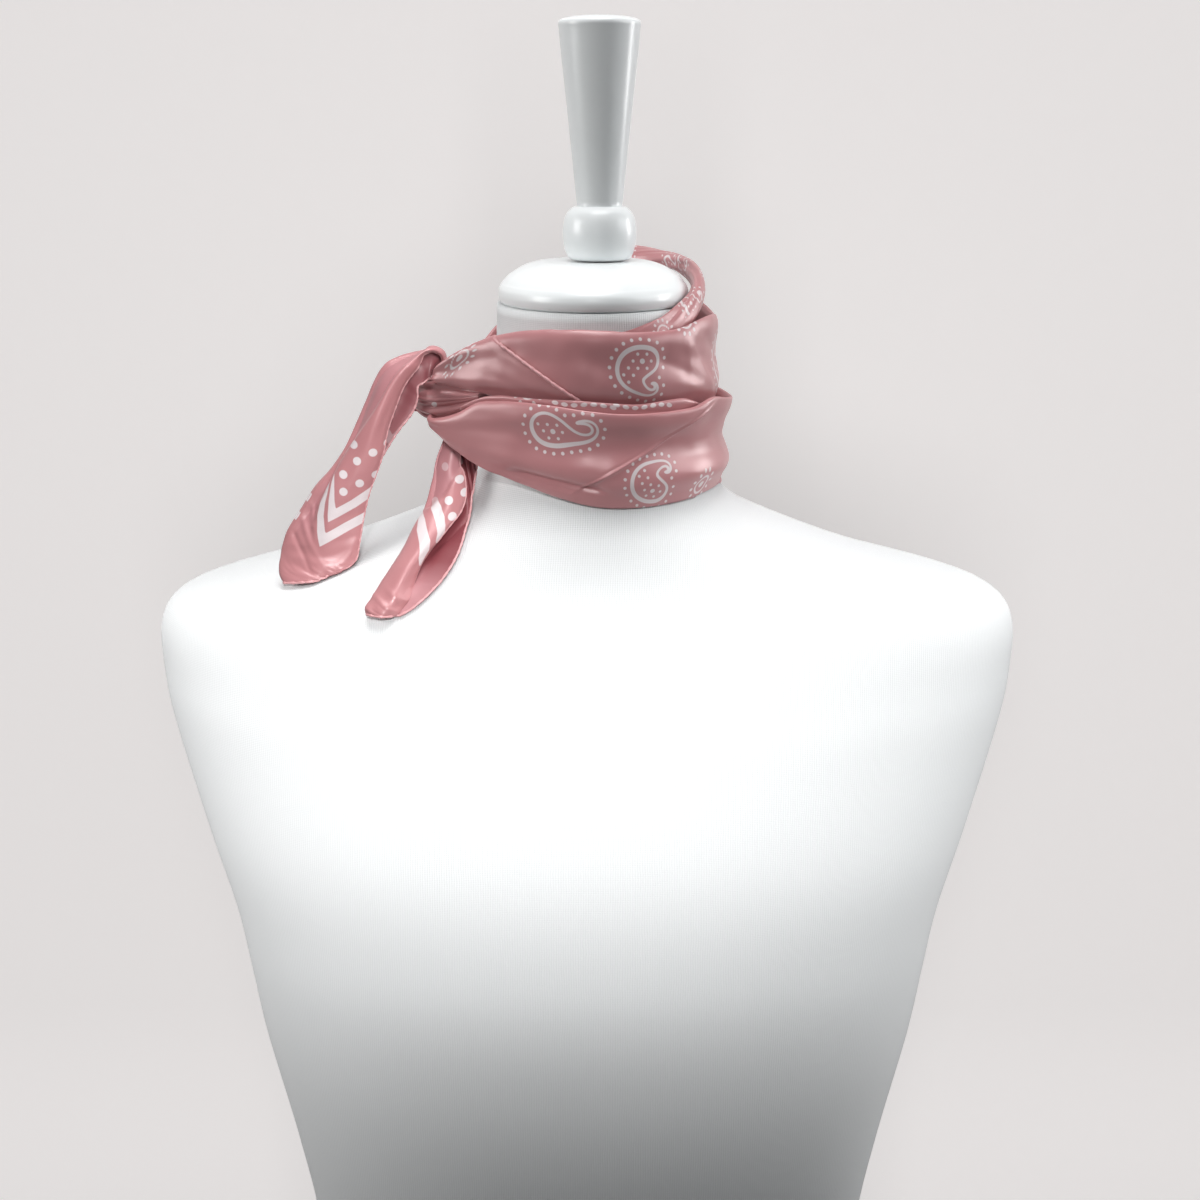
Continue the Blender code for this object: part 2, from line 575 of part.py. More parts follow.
def turn_grid(rows, stations, across, outward):
    """Grid of a pleated turn of the knot; outward is +1 where its face is on the left of its run."""
    table = along(np.array(rows, float), stations)
    heading = np.gradient(table[:, :2], axis=0)
    heading /= np.linalg.norm(heading, axis=1)[:, None]
    face = outward * np.stack([-heading[:, 1], heading[:, 0]], axis=1)
    grid = []
    for (x, y, z, height, bow), normal in zip(table, face):
        share = np.linspace(-1, 1, across)
        pleat = PLEAT_HEIGHT * min(1, height / 14) ** 2
        swell = bow * (1 - share**2) + pleat * np.cos(math.pi * PLEATS * share)
        ring = np.stack([NECK_X + x + normal[0] * swell, y + normal[1] * swell, z + 0.5 * height * share], axis=1)
        grid.append(ring)
    return np.array(grid)


def scarf(collection):
    upper = band_grid(UPPER_WRAP, band_stations(-71, 269, 5.2, 8.5), 10, UPPER_FOLDS)
    cloth("upper_wrap", upper, ROSE_SILK, collection)
    lower = band_grid(LOWER_WRAP, band_stations(-73, 269, 5.2, 8.5), 11, LOWER_FOLDS)
    cloth("lower_wrap", lower, ROSE_SILK, collection)
    middle = band_grid(MIDDLE_FOLD, np.arange(-62, 57.1, 5.4), 6, lip=1.4, wall=1.0)
    cloth("middle_fold", middle, ROSE_SILK, collection, wall=1.0)
    lofted("nape_strand", strand_rings(), True, True, ROSE_SILK, collection)
    cloth("long_end", channel_grid(LONG_END, 38, 13), ROSE_SILK, collection)
    cloth("short_end", channel_grid(SHORT_END, 26, 13), ROSE_SILK, collection)
    cloth("knot_front", turn_grid(KNOT_FRONT, 12, 13, 1), ROSE_SILK, collection)
    cloth("knot_back", turn_grid(KNOT_BACK, 12, 13, 1), ROSE_SILK, collection)


def build():
    for old in list(bpy.data.objects):
        bpy.data.objects.remove(old, do_unlink=True)
    collection = bpy.data.collections.new("silk square scarf on a display torso")
    bpy.context.scene.collection.children.link(collection)
    torso(collection)
    neck_cap(collection)
    finial(collection)
    scarf(collection)


build()
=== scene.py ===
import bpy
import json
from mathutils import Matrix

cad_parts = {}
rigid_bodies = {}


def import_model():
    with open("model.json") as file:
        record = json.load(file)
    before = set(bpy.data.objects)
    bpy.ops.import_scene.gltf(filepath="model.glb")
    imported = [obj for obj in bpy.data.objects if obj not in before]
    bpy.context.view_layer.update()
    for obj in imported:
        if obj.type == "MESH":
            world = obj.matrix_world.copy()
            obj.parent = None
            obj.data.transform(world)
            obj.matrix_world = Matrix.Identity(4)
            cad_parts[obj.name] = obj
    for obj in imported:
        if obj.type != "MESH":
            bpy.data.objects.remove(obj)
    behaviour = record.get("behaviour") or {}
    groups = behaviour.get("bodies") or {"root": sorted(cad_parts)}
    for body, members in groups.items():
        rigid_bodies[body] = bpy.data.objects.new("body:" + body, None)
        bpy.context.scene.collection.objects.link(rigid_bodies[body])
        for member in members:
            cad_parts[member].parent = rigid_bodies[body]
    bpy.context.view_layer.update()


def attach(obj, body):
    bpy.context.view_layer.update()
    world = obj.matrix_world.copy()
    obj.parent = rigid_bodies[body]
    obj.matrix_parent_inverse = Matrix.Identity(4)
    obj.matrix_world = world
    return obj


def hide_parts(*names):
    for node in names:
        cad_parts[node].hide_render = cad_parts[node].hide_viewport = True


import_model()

import json
import math

import bpy
import numpy as np

# Silk square knotted round the neck of a jersey covered form.
# Tables are in millimetres, meshes in metres, and the chest faces -Y.
mm = 0.001
neck = {"x": 3.0, "halfWidth": 45.0, "halfDepth": 54.0, "top": 679.6}
scene = bpy.context.scene
scene.view_settings.view_transform = "Standard"


# curves through the rows of a table
def smoothRows(keys, values, wanted):
    keys, values = np.asarray(keys, float), np.asarray(values, float)
    slopes = np.gradient(values, keys, axis=0)
    place = np.clip(np.searchsorted(keys, wanted, side="right") - 1, 0, len(keys) - 2)
    span = keys[place + 1] - keys[place]
    t = ((wanted - keys[place]) / span)[:, None]
    first, last = values[place], values[place + 1]
    riseIn, riseOut = slopes[place] * span[:, None], slopes[place + 1] * span[:, None]
    ease = 3 * t**2 - 2 * t**3
    return first * (1 - ease) + last * ease + riseIn * (t**3 - 2 * t**2 + t) + riseOut * (t**3 - t**2)


def throughRows(table, count):
    # a smooth line through the rows, in as many steps
    table = np.asarray(table, float)
    return smoothRows(np.arange(len(table)), table, np.linspace(0, len(table) - 1, count))


def walkedAlong(line):
    return np.r_[0, np.cumsum(np.linalg.norm(np.diff(line, axis=0), axis=1))]


def evenSteps(fine, count, placed=None):
    # the line again in steps of even length; placed is how many of its columns are its place
    gone = walkedAlong(fine[:, :placed])
    wanted = np.linspace(0, gone[-1], count)
    return np.stack([np.interp(wanted, gone, fine[:, k]) for k in range(fine.shape[1])], axis=1)


def unit(vectors):
    return vectors / np.linalg.norm(vectors, axis=-1, keepdims=True)


def ramp(value, start, full):
    # 0 at the start, 1 where it is full and beyond, on whichever side that is
    return np.clip((value - start) / (full - start), 0, 1)


def sigmoid(value):
    return 1 / (1 + np.exp(-value))


def bump(side, at, half):
    return np.exp(-((side - at) / half) ** 2)


def between(share, ends):
    # 1 from the start of a line to its end, and fading past both
    return sigmoid(ends * share) * sigmoid(ends * (1 - share))


def aroundNeck(phi, out):
    turn = np.radians(phi)
    return neck["x"] + (neck["halfWidth"] + out) * np.sin(turn), -(neck["halfDepth"] + out) * np.cos(turn)


def ripples(x, y, seed, count, shortest, longest, angle=None, spread=0.5):
    # smooth unevenness, about -1 to 1, from seeded waves of many lengths
    rng = np.random.default_rng(seed)
    total = np.zeros(np.shape(x))
    for _ in range(count):
        length = shortest * (longest / shortest) ** rng.random()
        heading = rng.uniform(0, math.pi) if angle is None else math.radians(angle) + rng.normal(0, spread)
        phase = rng.uniform(0, 2 * math.pi)
        wave = x * math.cos(heading) + y * math.sin(heading)
        total += np.sin(2 * math.pi * wave / length + phase) * (length / longest) ** 0.7
    return total / math.sqrt(count)


def surfaceNormals(grid):
    along = np.gradient(grid, axis=0)
    across = np.gradient(grid, axis=1)
    normal = np.cross(along, across)
    return normal / np.maximum(np.linalg.norm(normal, axis=2, keepdims=True), 1e-9)


def gridLengths(grid):
    # distance walked along and across the cloth, in mm
    alongStep = np.linalg.norm(np.diff(grid, axis=0), axis=2)
    acrossStep = np.linalg.norm(np.diff(grid, axis=1), axis=2)
    walked = np.concatenate([np.zeros((1, grid.shape[1])), np.cumsum(alongStep, axis=0)])
    crossed = np.concatenate([np.zeros((grid.shape[0], 1)), np.cumsum(acrossStep, axis=1)], axis=1)
    return walked, crossed


def clothFlat(grid, way=1):
    # each point's place on the flat cloth: walked along its middle line, and across
    walked, crossed = gridLengths(grid)
    across = grid.shape[1]
    along = np.repeat(walked[:, across // 2, None], across, axis=1)
    return np.stack([along, way * crossed], axis=-1)


def meshFromGrid(
        name, grid, flat, ink=None, closedAround=False, capped=False, outward=None, wrongSideAndPaintedShade=None,
        hollow=None):
    # flat is each point's place on the flat cloth; the ink field tells the silk where its print is, and two
    # more fields where shade is painted, in the wrong side's duller colour and darker within a closed fold
    steps, sides = grid.shape[:2]
    index = np.arange(steps * sides).reshape(steps, sides)
    ahead = np.roll(index, -1, axis=1) if closedAround else index[:, 1:]
    here = index if closedAround else index[:, :-1]
    faces = np.stack([here[:-1], ahead[:-1], ahead[1:], here[1:]], axis=-1).reshape(-1, 4)
    faces = [tuple(face) for face in faces.tolist()]
    if capped:
        faces += [tuple(index[0][::-1].tolist()), tuple(index[-1].tolist())]
    mesh = bpy.data.meshes.new(name)
    mesh.from_pydata((grid.reshape(-1, 3) * mm).tolist(), [], faces)
    if outward:
        mesh.flip_normals()
    uvs = mesh.uv_layers.new(name="clothMillimetres")
    corner = np.empty(len(mesh.loops), np.int32)
    mesh.loops.foreach_get("vertex_index", corner)
    uvs.data.foreach_set("uv", (flat.reshape(-1, 2)[corner]).astype(np.float32).ravel())
    if ink is not None:
        for label, field in (("ink", np.clip(ink, -2, 2)), ("wrongSideAndPaintedShade", wrongSideAndPaintedShade), ("hollow", hollow)):
            field = np.zeros(grid.shape[:2]) if field is None else field
            attribute = mesh.attributes.new(label, "FLOAT", "POINT")
            attribute.data.foreach_set("value", field.astype(np.float32).ravel())
    mesh.shade_smooth()
    piece = bpy.data.objects.new(name, mesh)
    scene.collection.objects.link(piece)
    return piece


def giveWall(piece, thickness, offset=-1.0):
    piece.data.materials.append(roseSilk)
    piece.data.materials.append(roseReverseAndPaintedShade)
    wall = piece.modifiers.new("cloth wall", "SOLIDIFY")
    wall.material_offset = 1  # the inner face shows the wrong side of the silk, with painted shade darkening it within closed folds
    wall.thickness = thickness * mm
    wall.offset = offset
    wall.use_rim = True
    wall.material_offset_rim = 0
    return piece


def settle(piece, slotName, *nodes):
    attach(piece, "root")
    if nodes:
        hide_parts(*nodes)
    return piece


# materials
def newMaterial(name):
    made = bpy.data.materials.new(name)
    made.use_nodes = True
    tree = made.node_tree
    return made, tree, tree.nodes["Principled BSDF"]


def addNode(tree, kind, values=None, **settings):
    node = tree.nodes.new(kind)
    for key, value in settings.items():
        setattr(node, key, value)
    for socket, value in (values or {}).items():
        node.inputs[socket].default_value = value
    return node


def mathNode(tree, operation, first, second=None, third=None):
    node = addNode(tree, "ShaderNodeMath", operation=operation)
    for slotNumber, value in enumerate((first, second, third)):
        if value is None:
            continue
        if isinstance(value, (int, float)):
            node.inputs[slotNumber].default_value = value
        else:
            tree.links.new(value, node.inputs[slotNumber])
    return node.outputs[0]


def mixColours(tree, factor, first, second, blend="MIX"):
    node = addNode(tree, "ShaderNodeMix", data_type="RGBA", blend_type=blend)
    for socket, value in ((node.inputs[0], factor), (node.inputs[6], first), (node.inputs[7], second)):
        if isinstance(value, (int, float, tuple)):
            socket.default_value = value
        else:
            tree.links.new(value, socket)
    return node.outputs[2]


def noiseNode(tree, vector, scale, detail, roughness=0.5):
    node = addNode(tree, "ShaderNodeTexNoise", {"Scale": scale, "Detail": detail, "Roughness": roughness})
    tree.links.new(vector, node.inputs["Vector"])
    return node.outputs["Fac"]


def bumpNode(tree, height, strength, distance, under=None):
    # one bump over another, distance in metres
    node = addNode(tree, "ShaderNodeBump", {"Strength": strength, "Distance": distance})
    tree.links.new(height, node.inputs["Height"])
    if under is not None:
        tree.links.new(under, node.inputs["Normal"])
    return node.outputs[0]


def stretched(tree, vector, scale):
    node = addNode(tree, "ShaderNodeMapping", {"Scale": scale})
    tree.links.new(vector, node.inputs["Vector"])
    return node.outputs[0]


def waveNode(tree, place, length):
    # a sine with this many millimetres from rib to rib
    return mathNode(tree, "SINE", mathNode(tree, "MULTIPLY", place, 2 * math.pi / length))


def attributeNode(tree, name):
    return addNode(tree, "ShaderNodeAttribute", attribute_name=name).outputs["Fac"]


def setSockets(shader, values):
    for socket, value in values.items():
        shader.inputs[socket].default_value = value


def rampNode(tree, value, stops):
    node = addNode(tree, "ShaderNodeValToRGB")
    ramp = node.color_ramp
    ramp.elements[0].position, ramp.elements[1].position = stops[0][0], stops[-1][0]
    for position, _ in stops[1:-1]:
        ramp.elements.new(position)
    for element, (_, colour) in zip(ramp.elements, stops):
        element.color = colour
    tree.links.new(value, node.inputs[0])
    return node.outputs[0]


silkCloth = {
    "wall": 0.42,
    "rose": (0.50, 0.218, 0.228, 1),
    "roseDeep": (0.42, 0.168, 0.178, 1),
    "reverse": (0.44, 0.192, 0.208, 1),  # the duller wrong side
    "paintedFoldShade": (0.225, 0.046, 0.056, 1),  # painted shade: the wrong side darkened inside a closed fold
    "showsThrough": 0.28,  # how much of the print is seen from the wrong side
    "print": (0.76, 0.70, 0.71, 1),
    "printThin": (0.68, 0.59, 0.60, 1),
    "inkBlur": 0.12,
    "inkWobble": 0.12,  # how unevenly the paste's edge runs, mm
    "dyeCloud": (46.0, 3.0),  # scale and detail of each noise
    "dyeEven": 0.72,
    "pasteGrain": (2.6, 2.0),
    "twillStep": 0.36,  # mm between the diagonal ribs of the weave
    "warpDepth": 0.35,
    "threads": (0.9, 4.0, 0.6),
    "threadStretch": (0.16, 2.4, 1.0),
    "weaveBump": (0.10, 0.00004),
    "threadBump": (0.16, 0.0001),
    "roughness": 0.34,
    "threadRough": 0.14,  # added by slubs, by the paste and on the wrong side
    "printRough": 0.08,
    "reverseRough": 0.10,
    "finish": {
        "Specular IOR Level": 0.85, "Specular Tint": (1.0, 0.88, 0.88, 1),
        "Sheen Weight": 0.22, "Sheen Roughness": 0.35, "Sheen Tint": (1.0, 0.78, 0.78, 1),
    },
}


def silkMaterial(name, cloth, reverse=False):
    made, tree, shader = newMaterial(name)
    link = tree.links.new
    uv = addNode(tree, "ShaderNodeUVMap", uv_map="clothMillimetres").outputs[0]
    place = addNode(tree, "ShaderNodeTexCoord").outputs["Object"]
    # slight unevenness of the dye and of the printed paste
    dye = mixColours(tree, noiseNode(tree, place, *cloth["dyeCloud"]), cloth["roseDeep"], cloth["rose"])
    dye = mixColours(tree, cloth["dyeEven"], dye, cloth["rose"])
    grain = noiseNode(tree, uv, *cloth["pasteGrain"])
    paste = mixColours(tree, grain, cloth["printThin"], cloth["print"])
    wobble = mathNode(tree, "MULTIPLY_ADD", grain, cloth["inkWobble"], -0.5 * cloth["inkWobble"])
    edge = mathNode(tree, "ADD", attributeNode(tree, "ink"), wobble)
    printed = mathNode(tree, "MULTIPLY_ADD", edge, 0.5 / cloth["inkBlur"], 0.5)
    printed = mathNode(tree, "MINIMUM", mathNode(tree, "MAXIMUM", printed, 0.0), 1.0)
    # the wrong side's colour also stands on the outer face where the attribute asks, as painted shade
    wrong = attributeNode(tree, "wrongSideAndPaintedShade")
    if reverse:
        wrong = mathNode(tree, "MAXIMUM", wrong, 1.0)
    ground = mixColours(tree, wrong, dye, cloth["reverse"])
    # within closed folds the inner face is painted darker, a painted shade
    if reverse:
        ground = mixColours(tree, attributeNode(tree, "hollow"), ground, cloth["paintedFoldShade"])
    seen = mathNode(tree, "MULTIPLY_ADD", wrong, cloth["showsThrough"] - 1.0, 1.0)
    seen = mathNode(tree, "MULTIPLY", printed, seen)
    link(mixColours(tree, seen, ground, paste), shader.inputs["Base Color"])
    # twill: fine ribs at a slant, crossed by the finer warp
    parts = addNode(tree, "ShaderNodeSeparateXYZ")
    link(uv, parts.inputs[0])
    slant = mathNode(tree, "ADD", parts.outputs[0], parts.outputs[1])
    rib = waveNode(tree, slant, 1.414 * cloth["twillStep"])
    warp = waveNode(tree, parts.outputs[0], 0.5 * cloth["twillStep"])
    weave = mathNode(tree, "MULTIPLY_ADD", warp, cloth["warpDepth"], rib)
    threads = noiseNode(tree, stretched(tree, uv, cloth["threadStretch"]), *cloth["threads"])
    under = bumpNode(tree, weave, *cloth["weaveBump"])
    link(bumpNode(tree, threads, *cloth["threadBump"], under), shader.inputs["Normal"])
    least = cloth["roughness"] - 0.5 * cloth["threadRough"]
    rough = mathNode(tree, "MULTIPLY_ADD", threads, cloth["threadRough"], least)
    rough = mathNode(tree, "MULTIPLY_ADD", printed, cloth["printRough"], rough)
    rough = mathNode(tree, "MULTIPLY_ADD", wrong, cloth["reverseRough"], rough)
    link(rough, shader.inputs["Roughness"])
    setSockets(shader, cloth["finish"])
    return made


roseSilk = silkMaterial("rose printed silk", silkCloth)
roseReverseAndPaintedShade = silkMaterial("rose silk wrong side and painted fold shade", silkCloth, reverse=True)
# the rolled hems are painted lighter than the rest of the silk, a painted highlight
paintedHemHighlightTones = {"rose": (0.66, 0.335, 0.345, 1), "roseDeep": (0.56, 0.265, 0.275, 1)}
paintedHighlightHemSilk = silkMaterial("rose silk rolled hem with painted highlight", {**silkCloth, **paintedHemHighlightTones})


# printed motifs, each a field of millimetres: above 0 inside the print
# each course is the way along the middle of a motif: millimetres gone, heading in degrees, half width
paisleyKinds = {
    "long": [
        (0, -20, 7.9), (4, -16, 7.2), (8, -12, 5.4), (12, -8, 3.7), (16, 2, 2.6), (20, 22, 2.0),
        (23, 62, 1.8), (26, 118, 1.7), (29, 170, 1.5), (32, 192, 1.2), (34, 198, 1.0),
    ],
    "round": [
        (0, -174, 5.9), (4, -166, 7.2), (7.5, -144, 7.7), (10.5, -106, 7.0), (13.5, -68, 5.6),
        (16.5, -46, 4.1), (19.5, -36, 3.0), (22.5, -24, 2.2), (25, -4, 1.75), (27.2, 34, 1.55),
        (29.2, 92, 1.3), (31.2, 160, 1.05), (32.6, 196, 0.85),
    ],
}
paisleyPlan = {
    "steps": 120,  # points along a course, and how often it is smoothed
    "passes": 12,
    "thin": 0.92,
    "thick": 2.05,
    "broad": ((1.35, 1.8), (0.72, 0.40)),  # where the outline is thick: along the course, and round it
    "corner": 0.3,  # how far the outline rounds off inner corners
    "cornerGrowth": 0.67,
    "dotPitch": 4.1,
    "dotRadius": 0.82,
    "dotGap": 2.4,
    "dotLeast": 0.72,  # the share of pitch and gap that a dot must keep
    "seedPitch": 4.3,
    "seedRows": 0.7,
    "seedRadius": 0.74,
    "seedClear": 0.35,
    "heartSeed": 1.6,  # the middle seed is this much bigger, and lies this far along the course
    "heartAt": 12,
}
sunPlan = {
    "eye": 1.4,
    "ring": 3.6,
    "ringHalf": 0.46,
    "rays": 12,
    "rayAt": 6.1,
    "rayHalf": 0.72,
    "rayLong": 1.35,  # how many times longer than wide
}
rowPlan = {"pitch": 3.8, "half": 0.85, "long": 1.6, "wave": 0.5, "waveTurn": 0.3, "reach": 14}
motifReach = 46
nothing = -9.0


def spineOf(course):
    gone, heading, radius = np.array(course, dtype=float).T
    step = np.linspace(0, gone[-1], paisleyPlan["steps"])
    heading = np.radians(np.interp(step, gone, heading))
    radius = np.interp(step, gone, radius)
    for _ in range(paisleyPlan["passes"]):
        heading[1:-1] = (heading[:-2] + 2 * heading[1:-1] + heading[2:]) / 4
        radius[1:-1] = (radius[:-2] + 2 * radius[1:-1] + radius[2:]) / 4
    pace = np.gradient(step)
    spine = np.stack([np.cumsum(np.cos(heading) * pace), np.cumsum(np.sin(heading) * pace)], axis=1)
    return spine - spine[0], radius, heading


def reachOf(points, spine, radius):
    # mm from each point to each round along the spine, below 0 inside
    return np.linalg.norm(points[:, None] - spine[None], axis=2) - radius[None]


def nearestOf(points, spine, radius):
    reach = reachOf(points, spine, radius)
    best = reach.argmin(axis=1)
    return reach[np.arange(len(points)), best], best


def dotField(points, centres, radii):
    if not len(centres):
        return np.full(len(points), nothing)
    far = np.linalg.norm(points[:, None] - np.asarray(centres)[None], axis=2)
    return (np.broadcast_to(radii, len(centres))[None] - far).max(axis=1)


def paisleyRing(spine, radius, heading):
    # the dots round a motif: up one side, round the head and down the other
    gap, pitch, least = (paisleyPlan[key] for key in ("dotGap", "dotPitch", "dotLeast"))
    side = np.stack([-np.sin(heading), np.cos(heading)], axis=1)
    outer = spine - side * (radius + gap)[:, None]
    inner = spine + side * (radius + gap)[:, None]
    turn = heading[0] - math.pi / 2 - np.linspace(0, math.pi, 40)
    cap = (radius[0] + gap) * np.stack([np.cos(turn), np.sin(turn)], axis=1)
    walk = np.concatenate([outer[::-1], cap, inner])
    for _ in range(3):
        clear, best = nearestOf(walk, spine, radius)
        walk = walk + unit(walk - spine[best]) * np.clip(gap - clear, 0, None)[:, None]
    ring = evenSteps(walk, int(walkedAlong(walk)[-1] / pitch) + 1)
    clear, _ = nearestOf(ring, spine, radius)
    kept = []
    for point in ring[clear > least * gap]:
        if all(math.dist(point, other) > least * pitch for other in kept):
            kept.append(point)
    return np.array(kept)


def paisleyInk(points, course):
    plan = paisleyPlan
    spine, radius, heading = spineOf(course)
    reach = reachOf(points, spine, radius)
    best = reach.argmin(axis=1)
    # the outline is rounded where the tail leaves the body
    least = reach.min(axis=1)
    crowd = np.exp((least[:, None] - reach) / plan["corner"]).sum(axis=1)
    edge = least - plan["corner"] * np.log(crowd) + plan["cornerGrowth"]
    share = best / (len(spine) - 1)
    # the stroke is broad round the back of the body and thin along the tail
    away = points - spine[best]
    side = np.sin(np.arctan2(away[:, 1], away[:, 0]) - heading[best])
    (onBody, thins), (onBack, turns) = plan["broad"]
    broad = np.clip(onBody - thins * share, 0, 1) * np.clip(onBack - turns * side, 0, 1)
    stroke = plan["thin"] + (plan["thick"] - plan["thin"]) * broad
    ink = stroke / 2 - np.abs(edge + stroke / 2)
    ink = np.maximum(ink, dotField(points, paisleyRing(spine, radius, heading), plan["dotRadius"]))
    # seeds in staggered rows inside
    column, row = np.meshgrid(np.arange(-6, 7), np.arange(-6, 7))
    heart = spine[plan["heartAt"]]
    seeds = np.stack([column + 0.5 * (row % 2), row * plan["seedRows"]], axis=-1).reshape(-1, 2)
    seeds = seeds * plan["seedPitch"] + heart
    inside, _ = nearestOf(seeds, spine, radius)
    seeds = seeds[inside < -(plan["thick"] + plan["seedRadius"] + plan["seedClear"])]
    atHeart = np.linalg.norm(seeds - heart, axis=1) < 0.5
    size = np.where(atHeart, plan["heartSeed"], 1.0) * plan["seedRadius"]
    return np.maximum(ink, dotField(points, seeds, size))


def sunInk(points):
    plan = sunPlan
    far = np.linalg.norm(points, axis=1)
    ink = np.maximum(plan["eye"] - far, plan["ringHalf"] - np.abs(far - plan["ring"]))
    rayTurn = 2 * math.pi / plan["rays"]
    off = (np.arctan2(points[:, 1], points[:, 0]) / rayTurn + 0.5) % 1 - 0.5
    ray = np.hypot(off * rayTurn * far, (far - plan["rayAt"]) / plan["rayLong"])
    return np.maximum(ink, plan["rayHalf"] - ray)


def alongRun(x, z, fromX, fromZ, toX, toZ):
    # the share gone along a straight run, and mm to its left
    run = np.array([toX - fromX, toZ - fromZ])
    length = np.linalg.norm(run)
    run = run / length
    across, up = x - fromX, z - fromZ
    return (across * run[0] + up * run[1]) / length, up * run[0] - across * run[1]


def sideOfPath(x, z, path):
    # mm to the left of a line drawn downwards through the points of a path
    nearest, side = np.full(np.shape(x), 1e9), np.zeros(np.shape(x))
    for (fromX, fromZ), (toX, toZ) in zip(path[:-1], path[1:]):
        share, left = alongRun(x, z, fromX, fromZ, toX, toZ)
        share = np.clip(share, 0, 1)
        far = np.hypot(x - fromX - share * (toX - fromX), z - fromZ - share * (toZ - fromZ))
        side = np.where(far < nearest, -np.sign(left) * far, side)
        nearest = np.minimum(nearest, far)
    return side


def rowInk(points):
    # a border's run of dashes
    plan = rowPlan
    across = (points[:, 0] + plan["pitch"] / 2) % plan["pitch"] - plan["pitch"] / 2
    off = points[:, 1] - plan["wave"] * np.sin(plan["waveTurn"] * points[:, 0])
    ink = plan["half"] - np.hypot(across / plan["long"], off)
    return np.where(np.abs(points[:, 0]) < plan["reach"], ink, nothing)


def stripeInk(points, path):
    # path: x, y and width
    ink = np.full(len(points), nothing)
    for first, last in zip(path[:-1], path[1:]):
        first, last = np.asarray(first, float), np.asarray(last, float)
        run = last[:2] - first[:2]
        share = np.clip((points - first[:2]) @ run / (run @ run), 0, 1)
        width = first[2] + (last[2] - first[2]) * share
        ink = np.maximum(ink, width / 2 - np.linalg.norm(points - first[:2] - share[:, None] * run, axis=1))
    return ink


def chevronInk(points, left, right):
    # left arm from its tip down to the corner, right arm from the corner up; x, y and width
    left, right = np.asarray(left, float), np.asarray(right, float)
    fall, rise = left[-1, :2] - left[-2, :2], right[1, :2] - right[0, :2]
    # each arm's line runs on for 30 mm past the corner
    past, before = left[-1, :2] + 30 * unit(fall), right[0, :2] - 30 * unit(rise)
    leftSide = sideOfPath(points[:, 0], points[:, 1], [*left[:, :2], past])
    rightSide = sideOfPath(points[:, 0], points[:, 1], [before, *right[:, :2]])
    onLeft = leftSide > rightSide
    width = np.where(onLeft, np.interp(points[:, 1], left[::-1, 1], left[::-1, 2]), right[0, 2])
    ink = width / 2 - np.abs(np.maximum(leftSide, rightSide))
    return np.where(onLeft & (points[:, 1] > left[0, 1]), nothing, ink)


def motifInk(kind, points):
    if kind == "row":
        return rowInk(points)
    if kind == "sun":
        return sunInk(points)
    return paisleyInk(points, paisleyKinds[kind])


def printOn(flat, motifs):
    # flat is each point's place on the cloth; a motif is kind, x, y, turn, size or its two sizes, and flip
    points = flat.reshape(-1, 2)
    ink = np.full(len(points), nothing)
    for kind, x, y, turn, size, flip in motifs:
        near = np.linalg.norm(points - (x, y), axis=1) < motifReach * np.max(size)
        if not near.any():
            continue
        local = (points[near] - (x, y)) / size
        sine, cosine = math.sin(math.radians(turn)), math.cos(math.radians(turn))
        local = local @ np.array([[cosine, -sine], [sine, cosine]])
        local[:, 1] *= flip
        ink[near] = np.maximum(ink[near], motifInk(kind, local) * np.min(size))
    return ink.reshape(flat.shape[:-1])


# the jersey covered body
bodyPlan = {
    "rings": 190,
    "sides": 200,
    "ribStep": 1.05,  # mm between the jersey's ribs
    "white": (0.772, 0.785, 0.790, 1),
    "shade": (0.74, 0.75, 0.755, 1),
    "ribDrift": (0.05, 2.0),  # scale and detail of each noise
    "driftWidth": 1.6,  # how far the ribs stray, mm
    "stitchStep": 0.8,  # mm from one course of stitches to the next
    "stitchDepth": 0.22,
    "fuzz": (1.6, 4.0, 0.65),
    "cloud": (9.0, 3.0),
    "even": 0.6,
    "paintedRibShade": 0.07,  # painted shade: how much darker it is between ribs
    "speck": 0.06,
    "ribBump": (0.35, 0.00022),
    "fuzzBump": (0.18, 0.0002),
    "finish": {"Roughness": 0.82, "Specular IOR Level": 0.25, "Sheen Weight": 0.25, "Sheen Roughness": 0.5},
    # height, half width, front, back, squareness, shift
    "sections": [
        (0, 158, 100, 112, 2.3, 0), (50, 153, 97, 108, 2.3, 0), (100, 141, 91, 99, 2.3, 0),
        (160, 131, 85, 89, 2.3, 0), (226, 137, 90, 89, 2.35, 0), (278, 146, 99, 92, 2.4, 0),
        (333, 158, 110, 97, 2.4, 0), (370, 164, 116, 101, 2.4, 0), (400, 169.5, 117, 104, 2.4, 0),
        (440, 181, 114, 106, 2.4, 0), (491, 195, 104, 107, 2.35, 0), (515, 199, 97, 105, 2.3, 0),
        (533, 199.5, 90, 102, 2.25, 0), (545, 193, 84, 98, 2.2, 0), (553, 174, 79, 94, 2.15, 0.2),
        (564, 131, 73, 90, 2.1, 0.8), (579, 89, 66, 84, 2.0, 1.8), (590, 66, 61, 76, 2.0, 2.4),
        (606, 52, 57, 65, 2.0, 2.9), (630, 46, 54.5, 57.5, 2.0, 3.0), (660, 44.2, 53.5, 54, 2.0, 3.0),
        (679.6, 43.6, 53.4, 53.4, 2.0, 3.0),
    ],
}


def bodySections(plan):
    fine = throughRows(plan["sections"], 60 * len(plan["sections"]))
    fine[:, 0] = np.maximum.accumulate(fine[:, 0])  # the height never falls back
    return evenSteps(fine, plan["rings"], 2)


